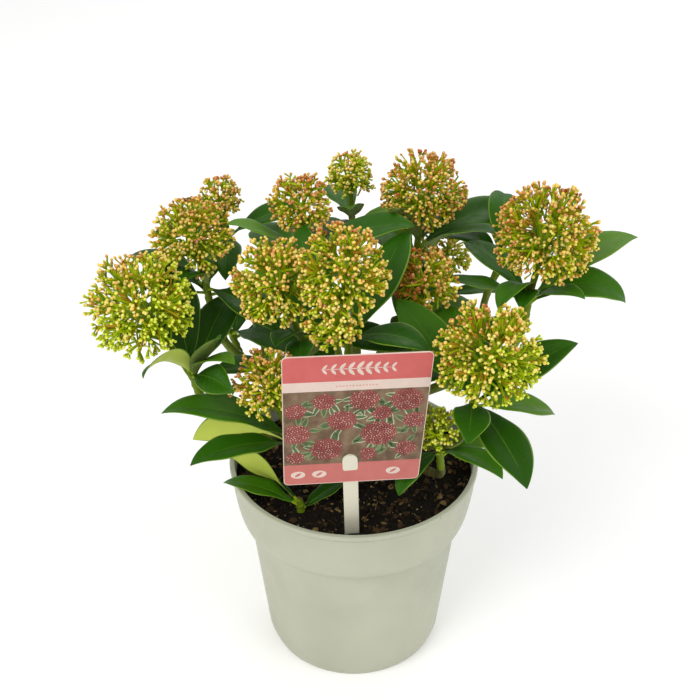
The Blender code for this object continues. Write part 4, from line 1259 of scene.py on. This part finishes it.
def build_shoot(shoot, blocked):
    """A shoot's twig up through its whorl, with its flower stalks and buds."""
    heap = Heap("stalks_" + shoot.name, "twig_green")
    whorl = Vector(shoot.whorl) * MM
    start = twig_start(shoot) - growth_direction(shoot) * (2.0 * GAP)
    if shoot.parent == "soil":
        start = start - UP * 2.0 * MM
    points = [start, start.lerp(whorl, 0.5), whorl]
    if shoot.head:
        centre = Vector(shoot.head) * MM
        points.extend((whorl.lerp(centre, 0.55), centre))
    else:
        points.append(whorl + growth_direction(shoot) * 3.0 * MM)
    shares = (1.0, 0.95, 0.9, 0.7, 0.5) if shoot.head else (1.0, 0.95, 0.9, 0.45)
    radii = [share * TWIG_RADIUS for share in shares]
    add_stem(heap, points, radii, 12, 7, dice_for(shoot.name, "twig relief"), 4.0 * MM)
    head = Head(shoot, blocked) if shoot.head else None
    if head:
        head.add_stalks(heap)
    heap.build("shoot_" + shoot.name)
    if head:
        head.build_buds()


# ---- Limbs ----


def build_limbs():
    """The main stem and the boughs, with their bark's relief."""
    lines = {"main_stem": main_stem_line()}
    heap = Heap("stem_bark_main", "stem_bark")
    points, radii = lines["main_stem"]
    points = [points[0] - UP * 2.5 * MM, *points]
    add_stem(heap, points, [radii[0] * 1.1, *radii], 28, 8, dice_for("main_stem", "relief"), 6.0 * MM)
    heap.build("main_stem")
    for shoot in SHOOTS:
        if shoot.parent == "soil":
            continue
        lines[shoot.name] = bough_line(shoot, lines)
        points, radii = lines[shoot.name]
        heap = Heap("bough_bark_" + shoot.name, "stem_bark")
        points = [*points[:-1], points[-1] + growth_direction(shoot) * 2.0 * GAP]
        add_stem(heap, points, [radii[0] * 1.2, *radii[1:]], 16, 7, dice_for(shoot.name, "relief"))
        heap.build("bough_" + shoot.name)


# ---- Pot ----


def arc(radius, height, corner, start, end, steps):
    """Points on a turned profile's round corner of a size, angles in degrees."""
    turns = [math.radians(start + (end - start) * step / steps) for step in range(steps + 1)]
    return [(radius + corner * math.cos(turn), height + corner * math.sin(turn)) for turn in turns]


def slope(start, end, steps):
    """Points on a straight side past its start, up to its end."""
    shares = [step / steps for step in range(1, steps + 1)]
    return [tuple(a + share * (b - a) for a, b in zip(start, end)) for share in shares]


def collar_profile(rings):
    """The collar's outer line from its foot to under the lip, bowed outward."""
    top = POT_HEIGHT - LIP_HEIGHT - LIP_EDGE
    points = []
    for ring in range(rings):
        share = ring / (rings - 1.0)
        radius = COLLAR_FOOT_RADIUS + share ** COLLAR_BOW * (COLLAR_TOP_RADIUS - COLLAR_FOOT_RADIUS)
        points.append((radius, COLLAR_FOOT_HEIGHT + share * (top - COLLAR_FOOT_HEIGHT)))
    return points


def pot_profile():
    """The pot's section from the middle of its floor round to its underside."""
    floor_edge = BASE_RADIUS - 3.0 * POT_WALL
    wall_foot = (BODY_FOOT_RADIUS - POT_WALL, BODY_FOOT_HEIGHT)
    inner_lip = RIM_RADIUS - 2.0 * POT_WALL
    collar = collar_profile(16)[::-1]
    step = COLLAR_FOOT_HEIGHT - COLLAR_UNDERCUT
    body_top = (BODY_TOP_RADIUS, step - 0.5 * MM)
    return [
        (0.0, POT_WALL), (BASE_RADIUS * 0.55, POT_WALL), (floor_edge, POT_WALL),
        *arc(BASE_RADIUS - 3.0 * MM, POT_WALL + 1.6 * MM, 1.6 * MM, -90.0, -25.0, 4),
        wall_foot, *slope(wall_foot, (BODY_TOP_RADIUS - POT_WALL, COLLAR_FOOT_HEIGHT + POT_WALL), 6),
        *((radius - POT_WALL, height + 2.0 * POT_WALL) for radius, height in collar_profile(14)[:-1]),
        (inner_lip, POT_HEIGHT - 0.5 * MM), (inner_lip + 0.35 * MM, POT_HEIGHT - 0.05 * MM),
        (inner_lip + 0.9 * MM, POT_HEIGHT),
        *arc(RIM_RADIUS - 0.8 * MM, POT_HEIGHT - 0.8 * MM, 0.8 * MM, 90.0, 0.0, 6),
        *arc(RIM_RADIUS - 0.5 * MM, POT_HEIGHT - LIP_HEIGHT + 0.5 * MM, 0.5 * MM, 0.0, -80.0, 4),
        (collar[0][0] - 0.25 * MM, collar[0][1] + 0.35 * MM), *collar,
        *arc(COLLAR_FOOT_RADIUS - 0.7 * MM, COLLAR_FOOT_HEIGHT, 0.7 * MM, -15.0, -90.0, 5),
        (BODY_TOP_RADIUS + 0.5 * MM, step), body_top,
        *slope(body_top, (BODY_FOOT_RADIUS, BODY_FOOT_HEIGHT), 8),
        (46.9 * MM, 5.2 * MM), (45.9 * MM, 2.4 * MM),
        *arc(BASE_RADIUS - 0.3 * MM, 1.0 * MM, 1.0 * MM, -5.0, -90.0, 4),
        (BASE_RADIUS * 0.9, 0.0), (BASE_RADIUS * 0.55, 0.0), (0.0, 0.0),
    ]


def build_pot():
    """The moulded pot, turned finely, with its drain holes."""
    bm = bmesh.new()
    rings = [
        [bm.verts.new((*spun(radius, turn), height)) for turn in full_turn(POT_SIDES if radius else 1)]
        for radius, height in pot_profile()
    ]
    for inner, outer in zip(rings, rings[1:]):
        for step in range(POT_SIDES):
            after = (step + 1) % POT_SIDES
            corners = [inner[step % len(inner)], inner[after % len(inner)]]
            corners += [outer[after % len(outer)], outer[step % len(outer)]]
            bm.faces.new(list(dict.fromkeys(corners))).smooth = True
    bmesh.ops.recalc_face_normals(bm, faces=bm.faces)
    pot = placed("pot_shell", mesh_from(bm, "pot_shell"), "pot")
    pot.data.materials.append(finish("pot_plastic"))
    drill_drains(pot)


def mesh_from(bm, name):
    """A mesh from a finished bmesh, which is freed."""
    mesh = bpy.data.meshes.new(name)
    bm.to_mesh(mesh)
    bm.free()
    return mesh


def drill_drains(pot):
    """Take the drain holes out of the pot's floor."""
    bm = bmesh.new()
    for index in range(DRAIN_COUNT):
        place = Vector((*spun(DRAIN_RING_RADIUS, TAU * (index + 0.5) / DRAIN_COUNT), 0.0))
        bmesh.ops.create_cone(
            bm, cap_ends=True, segments=24, radius1=DRAIN_RADIUS, radius2=DRAIN_RADIUS,
            depth=6.0 * POT_WALL, matrix=Matrix.Translation(place),
        )
    drill = linked("drain_drill", mesh_from(bm, "drain_drill"))
    cut = pot.modifiers.new("Drains", "BOOLEAN")
    cut.operation = "DIFFERENCE"
    cut.object = drill
    bpy.context.view_layer.update()
    graph = bpy.context.evaluated_depsgraph_get()
    drilled = bpy.data.meshes.new_from_object(pot.evaluated_get(graph))
    pot.modifiers.clear()
    spare = (pot.data, drill.data)
    pot.data = drilled
    bpy.data.objects.remove(drill)
    for mesh in spare:
        bpy.data.meshes.remove(mesh)
    pot.data.set_sharp_from_angle(angle=math.radians(38.0))


# ---- Soil ----


def soil_height(x, y):
    """The soil's height: hollowed in lumps below the level that the stems stand on."""
    here = Vector((x, y, 0.0))
    feet = (MAIN_STEM_FOOT, twig_start(SHOOTS[-1]))
    away = min((here - Vector((foot.x, foot.y, 0.0))).length for foot in feet)
    hollow = min(1.0, max(0.0, away / LEVEL_ROUND_STEM - 1.0))
    return SOIL_HEIGHT - hollow * SOIL_LUMP * (1.0 + noise.noise(here / SOIL_LUMP_SIZE))


def ground(x, y):
    """A point on the soil, its crumbs on top of its lumps."""
    here = Vector((x, y, 0.0))
    coarse = noise.noise(here / (4.2 * MM))
    fine = noise.noise(here / (1.7 * MM) + Vector((7.0, 3.0, 1.0)))
    return x, y, soil_height(x, y) + (0.75 * coarse + 0.45 * fine - 0.35) * MM


def build_soil():
    """The plug of peat, its top crumbled."""
    edge = COLLAR_TOP_RADIUS - 2.0 * POT_WALL
    turns = full_turn(SOIL_SIDES)
    points = [ground(0.0, 0.0)]
    for ring in range(1, SOIL_RINGS + 1):
        points.extend(ground(*spun(edge * (ring / SOIL_RINGS) ** 0.8, turn)) for turn in turns)
    for radius, height in (
        (BODY_TOP_RADIUS, COLLAR_FOOT_HEIGHT + 1.5 * MM),
        (BODY_FOOT_RADIUS, BODY_FOOT_HEIGHT + GAP),
        (BASE_RADIUS, POT_WALL + GAP),
    ):
        points.extend((*spun(radius - POT_WALL - 2.0 * GAP, turn), height) for turn in turns)
    side = np.arange(SOIL_SIDES)
    last = len(points) - SOIL_SIDES
    fan = np.stack((np.zeros_like(side), 1 + side, 1 + (side + 1) % SOIL_SIDES), axis=1)
    heap = Heap("soil_bed", "peat")
    walls = ring_faces(SOIL_RINGS + 3, SOIL_SIDES, 1)[:, ::-1]
    heap.add(points, (walls, 0), (fan, 0), ([last + side[::-1]], 0))
    heap.build("soil")


def is_bare_soil(x, y, margin):
    """Whether a crumb may lie there: inside the pot, off the stems and the stick."""
    if math.hypot(x, y) > COLLAR_TOP_RADIUS - 2.0 * POT_WALL - margin:
        return False
    if math.hypot(x - MAIN_STEM_FOOT.x, y - MAIN_STEM_FOOT.y) < 7.0 * MM + margin:
        return False
    if math.hypot(x - SHOOTS[-1].whorl[0] * MM, y - SHOOTS[-1].whorl[1] * MM) < TWIG_RADIUS + margin:
        return False
    return abs(x - STICK_FOOT.x) > 4.2 * MM + margin or abs(y - STICK_FOOT.y) > 1.5 * MM + margin


def strewn(dice, margin):
    """A chance place on the soil, as x and y."""
    radius = (COLLAR_TOP_RADIUS - margin) * math.sqrt(dice.random())
    return spun(radius, dice.uniform(0.0, TAU))


def chip_template():
    """A rough lump of twenty faces."""
    bm = bmesh.new()
    bmesh.ops.create_icosphere(bm, subdivisions=1, radius=1.0)
    points = np.array([tuple(vertex.co) for vertex in bm.verts])
    faces = np.array([[vertex.index for vertex in face.verts] for face in bm.faces])
    bm.free()
    return points, faces


def build_chips():
    """Bark chips and crumbs half sunk in the peat."""
    dice = dice_for("chips")
    shape, faces = chip_template()
    heap = Heap("soil_chips", *CHIPS)
    for mark, (count, small, large) in enumerate(CHIPS.values()):
        for _ in range(count):
            x, y = strewn(dice, 4.0 * MM)
            size = MM * (small + (large - small) * dice.random() ** 2.2)
            if not is_bare_soil(x, y, size):
                continue
            flat = dice.uniform(0.28, 0.6) if mark in (1, 2) else dice.uniform(0.5, 0.9)
            slim = dice.uniform(0.4, 0.9)
            rough = shape * [[dice.uniform(0.7, 1.2)] for _ in shape] * (1.0, slim, flat)
            spin = Matrix.Rotation(dice.uniform(0.0, 6.28), 3, "Z")
            tilt = Matrix.Rotation(dice.gauss(0.0, 0.35), 3, "X")
            turned = rough @ np.array(spin @ tilt).T
            z = ground(x, y)[2] + size * flat * dice.uniform(-0.15, 0.45)
            heap.add(turned * size + (x, y, z), (faces, mark))
    heap.build("soil", smooth=False)


def build_fibres():
    """Thin roots and fibres that lie on the peat."""
    dice = dice_for("fibres")
    heap = Heap("soil_fibres", "chip_black", "chip_brown", "chip_tan")
    rows = []
    for _ in range(FIBRE_COUNT):
        x, y = strewn(dice, 8.0 * MM)
        if not is_bare_soil(x, y, 4.0 * MM):
            continue
        way = dice.uniform(0.0, TAU)
        a, b = spun(dice.uniform(1.5, 4.5) * MM, way)
        middle = (
            x + dice.gauss(0.0, 1.2) * MM, y + dice.gauss(0.0, 1.2) * MM,
            soil_height(x, y) + dice.uniform(1.0, 2.4) * MM,
        )
        rows.append((ground(x - a, y - b), middle, ground(x + a, y + b), dice.uniform(0.10, 0.26) * MM))
    starts, middles, ends, radii = (np.array(column) for column in zip(*rows))
    marks = np.array([dice.choice((0, 1, 1, 2)) for _ in rows])
    add_tubes(heap, marks, starts, middles, ends, radii, radii * 0.6, rings=7)
    heap.build("soil")


# ---- Label ----


def card_frame():
    """The card's place: across it X, through it Y, up it Z."""
    turn = Matrix.Rotation(CARD_YAW, 4, "Z")
    turn = turn @ Matrix.Rotation(CARD_PITCH, 4, "X") @ Matrix.Rotation(CARD_ROLL, 4, "Y")
    return Matrix.Translation(CARD_CENTRE) @ turn


def stick_frame():
    """The stick's axis, from its foot up through the card's slot, and its length."""
    slot = card_frame() @ Vector((-1.0 * MM, 0.0, -CARD_SLOT_DROP))
    rise = (slot - STICK_FOOT).normalized()
    foot = STICK_FOOT - rise * STICK_DEPTH
    tip = slot + rise * STICK_ABOVE_SLOT
    across = Matrix.Rotation(CARD_YAW, 4, "Z") @ Vector((1.0, 0.0, 0.0))
    across = (across - rise * across.dot(rise)).normalized()
    matrix = Matrix((across, rise.cross(across), rise)).transposed().to_4x4()
    matrix.translation = (foot + tip) / 2.0
    return matrix, (tip - foot).length


def card_corners(inset):
    """The card's outline, drawn in by an inset, as (x, z) pairs."""
    corners = []
    for quarter, (side, end) in enumerate(((1, 1), (-1, 1), (-1, -1), (1, -1))):
        taper = CARD_FOOT_INSET if end < 0 else 0.0
        centre_x = side * (CARD_WIDTH / 2.0 - taper - CARD_CORNER)
        centre_z = end * (CARD_HEIGHT / 2.0 - CARD_CORNER)
        for step in range(9):
            x, z = spun(CARD_CORNER - inset, math.pi / 2.0 * (quarter + step / 8.0))
            corners.append((centre_x + x, centre_z + z))
    return corners


def clip_band(corners, low, high):
    """The part of a convex outline between two heights."""
    for sign, level in ((1.0, low), (-1.0, -high)):
        kept = []
        for here, after in zip(corners, corners[1:] + corners[:1]):
            inside, next_inside = sign * here[1] >= level, sign * after[1] >= level
            if inside:
                kept.append(here)
            if inside != next_inside:
                share = (sign * level - here[1]) / (after[1] - here[1])
                kept.append((here[0] + share * (after[0] - here[0]), sign * level))
        corners = kept
    return corners


def add_plate(heap, ink, corners, front, back):
    """A flat plate of the outline, between two depths in front of the card's middle."""
    matrix = card_frame()
    points = [matrix @ Vector((x, -depth, z)) for depth in (back, front) for x, z in corners]
    heap.add_rings(points, len(corners), heap.mark(ink))


class Print:
    """What is printed on the card, as thin plates that rise layer by layer."""

    def __init__(self, heap):
        self.heap = heap
        self.dice = dice_for("card")

    def add(self, layer, ink, x, z, long, wide, turn=0.0, steps=12, point=0.0):
        """An oval, drawn out to a point at both ends for a leaf."""
        corners = []
        for angle in full_turn(steps):
            a = long * math.cos(angle)
            b = wide * math.sin(angle) * (1.0 - point * math.cos(angle) ** 2)
            corners.append((
                x + a * math.cos(turn) - b * math.sin(turn), z + a * math.sin(turn) + b * math.cos(turn),
            ))
        add_plate(self.heap, ink, corners, CARD_THICKNESS / 2.0 + layer * PRINT_STEP, 0.2 * MM)

    def add_leaf(self, layer, ink, x, z, long, turn, slim=0.36):
        """A leaf of a sprig or a garland."""
        self.add(layer, ink, x, z, long, slim * long, turn, 12, 0.45)

    def add_sprig(self, x, z, size):
        """A berry cluster with leaves fanned round it."""
        dice = self.dice
        for index in range(8):
            turn = index * math.pi / 4.0 + dice.uniform(-0.35, 0.35)
            a, b = spun(size * dice.uniform(1.0, 1.25), turn)
            long = dice.uniform(3.2, 4.8) * MM
            turn += dice.uniform(-0.5, 0.5)
            if is_on_panel(x + a, z + 0.8 * b, long):
                tone = dice.choice(("card_leaf", "card_leaf_pale"))
                self.add_leaf(1, tone, x + a, z + 0.8 * b, long, turn)
                self.add(2, "card_leaf_deep", x + a, z + 0.8 * b, 0.88 * long, 0.22 * long, turn, 12, 0.45)
        count = int(2.0 * (size / MM) ** 2)
        for index in range(count):
            a, b = spun(size * math.sqrt((index + 0.5) / count), index * GOLDEN_TURN)
            place = (x + a, z + 0.82 * b)
            if is_on_panel(*place, 0.84 * MM):
                self.add(3, "card_berry_deep", *place, 0.84 * MM, 0.80 * MM, steps=7)
                tone = dice.choice(("card_berry", "card_berry", "card_berry_pale"))
                self.add(4, tone, *place, 0.40 * MM, 0.36 * MM, steps=6)

    def add_garland(self, z, reach):
        """A level stem with pairs of small leaves on the top band."""
        self.add(1, "card_strip", 0.0, z, reach, 0.22 * MM, steps=16)
        for index in range(9):
            place = reach * (index / 4.0 - 1.0) * 0.92
            long = (2.7 - 0.9 * abs(index / 4.0 - 1.0)) * MM
            for turn in (0.9, -0.9):
                a, b = spun(long, turn)
                self.add_leaf(1, "card_strip", place + 0.7 * a, z + 0.85 * b, long, turn)


def is_on_panel(x, z, margin):
    """Whether a printed mark keeps on the card's middle panel and off the stick's tab."""
    half = CARD_WIDTH / 2.0 - CARD_FOOT_INSET * (0.5 - z / CARD_HEIGHT)
    if abs(x) > half - 0.4 * MM - margin or not PANEL_FOOT + margin < z < PANEL_TOP - margin:
        return False
    return abs(x + 1.0 * MM) > 3.8 * MM + margin or z > -17.5 * MM + margin


def build_card():
    """The label: a thin cream card with plain printed bands and a berry pattern."""
    half = CARD_THICKNESS / 2.0
    top = CARD_HEIGHT / 2.0
    strip_top = PANEL_TOP + 5.3 * MM
    heap = Heap("label_plate", "card_edge")
    add_plate(heap, "card_edge", card_corners(0.0), half - 0.06 * MM, -half)
    for ink, low, high in (
        ("card_coral", strip_top, top), ("card_strip", PANEL_TOP, strip_top),
        ("card_dusk", PANEL_FOOT, PANEL_TOP), ("card_foot", -top, PANEL_FOOT),
    ):
        add_plate(heap, ink, clip_band(card_corners(0.35 * MM), low, high), half, half - 0.2 * MM)
    prints = Print(heap)
    for sprig in CARD_SPRIGS:
        prints.add_sprig(*(value * MM for value in sprig))
    prints.add_garland(top - 7.4 * MM, 17.0 * MM)
    for index in range(13):
        x = (index - 6.0) * 1.5 * MM
        prints.add(1, "card_berry_pale", x, PANEL_TOP + 2.6 * MM, 0.5 * MM, 0.4 * MM, steps=8)
    for x in (-25.5, -15.5, 19.5):
        place = (x * MM, 6.0 * MM - top)
        prints.add(1, "card_strip", *place, 3.4 * MM, 2.1 * MM, steps=28)
        prints.add(2, "card_foot", *place, 1.9 * MM, 0.7 * MM, 0.6, 12, 0.45)
    heap.build("label_card", smooth=False)


def build_stick():
    """The flat stick, with eased edges and a round head."""
    matrix, length = stick_frame()
    half = STICK_WIDTH / 2.0
    deep = STICK_THICKNESS / 2.0
    side = ((-1.0, 0.45), (-0.98, 0.78), (-0.90, 0.93), (-0.74, 1.0), (-0.5, 1.0), (0.0, 1.0))
    side = (*side, *((-x, y) for x, y in side[-2::-1]))
    ring = (*side, *((-x, -y) for x, y in side))
    shoulder = length / 2.0 - half
    stations = [-length / 2.0, -length / 2.0 + 4.0 * MM, 0.0, shoulder - 1.5 * MM]
    stations += [shoulder + half * math.sin(math.radians(angle)) for angle in range(0, 88, 11)]
    points = []
    for height in stations:
        above = max(0.0, height - shoulder) / half
        width = half * math.sqrt(max(0.02, 1.0 - above * above))
        foot = min(1.0, 0.55 + (height + length / 2.0) / (9.0 * MM))
        points.extend(matrix @ Vector((x * width * foot, y * deep, height)) for x, y in ring)
    heap = Heap("label_stake", "stick_plastic")
    heap.add_rings(points, len(ring))
    stake = heap.build("label_stick")
    stake.data.set_sharp_from_angle(angle=math.radians(50.0))


# ---- Studio ----


def aimed(item, place, aim):
    """Stand a lamp or the camera at a place, looking at another."""
    item.location = place
    item.rotation_euler = (Vector(aim) - Vector(place)).to_track_quat("-Z", "Y").to_euler()


def add_light(name, place, size, power, colour):
    """A soft square lamp that faces the plant."""
    lamp = bpy.data.lights.new(name, "AREA")
    lamp.shape = "SQUARE"
    lamp.size = size
    lamp.energy = power
    lamp.color = colour
    aimed(linked(name, lamp), place, LIGHT_AIM)


def build_studio():
    """Floor, pale surroundings and soft lamps."""
    mesh = bpy.data.meshes.new("studio_floor")
    signs = ((-1, -1), (1, -1), (1, 1), (-1, 1))
    corners = [(x * FLOOR_HALF, y * FLOOR_HALF, FLOOR_LEVEL) for x, y in signs]
    mesh.from_pydata(corners, [], [(0, 1, 2, 3)])
    mesh.materials.append(finish("studio_floor"))
    floor = linked("studio_floor", mesh)
    world = bpy.data.worlds.new("studio")
    world.use_nodes = True
    sky = world.node_tree.nodes["Background"]
    sky.inputs["Color"].default_value = (1.0, 1.0, 1.0, 1.0)
    sky.inputs["Strength"].default_value = 0.66
    bpy.context.scene.world = world
    add_light("key", (-0.75, -0.85, 1.15), 0.9, 11.5, (1.0, 0.98, 0.94))
    add_light("fill", (0.95, -0.7, 0.8), 0.9, 5.0, (0.98, 0.99, 1.0))
    add_light("back", (0.3, 1.1, 1.2), 1.0, 5.0, (1.0, 1.0, 1.0))
    bpy.context.scene.view_settings.view_transform = "Standard"


def build_camera():
    """The camera at the photograph's angle."""
    data = bpy.data.cameras.new("camera")
    data.lens = CAMERA_LENS
    data.sensor_width = 36.0
    data.clip_start = 0.01
    camera = linked("camera", data)
    aimed(camera, CAMERA_PLACE, CAMERA_AIM)
    bpy.context.scene.camera = camera


def search_tree(items):
    """A search tree of some objects' faces."""
    points = []
    faces = []
    for item in items:
        base = len(points)
        points.extend(vertex.co.copy() for vertex in item.data.vertices)
        faces.extend([base + index for index in face.vertices] for face in item.data.polygons)
    return BVHTree.FromPolygons(points, faces)


def main():
    """Dress the frame."""
    build_camera()
    build_studio()
    build_pot()
    build_soil()
    build_chips()
    build_fibres()
    build_card()
    build_stick()
    build_limbs()
    leaves = [piece for piece in map(build_leaves, SHOOTS) if piece]
    limbs = [item for name, item in frame["nodes"].items() if name.startswith(("bough_", "label_", "main_"))]
    blocked = search_tree([*leaves, *limbs])
    for shoot in SHOOTS:
        build_shoot(shoot, blocked)


main()
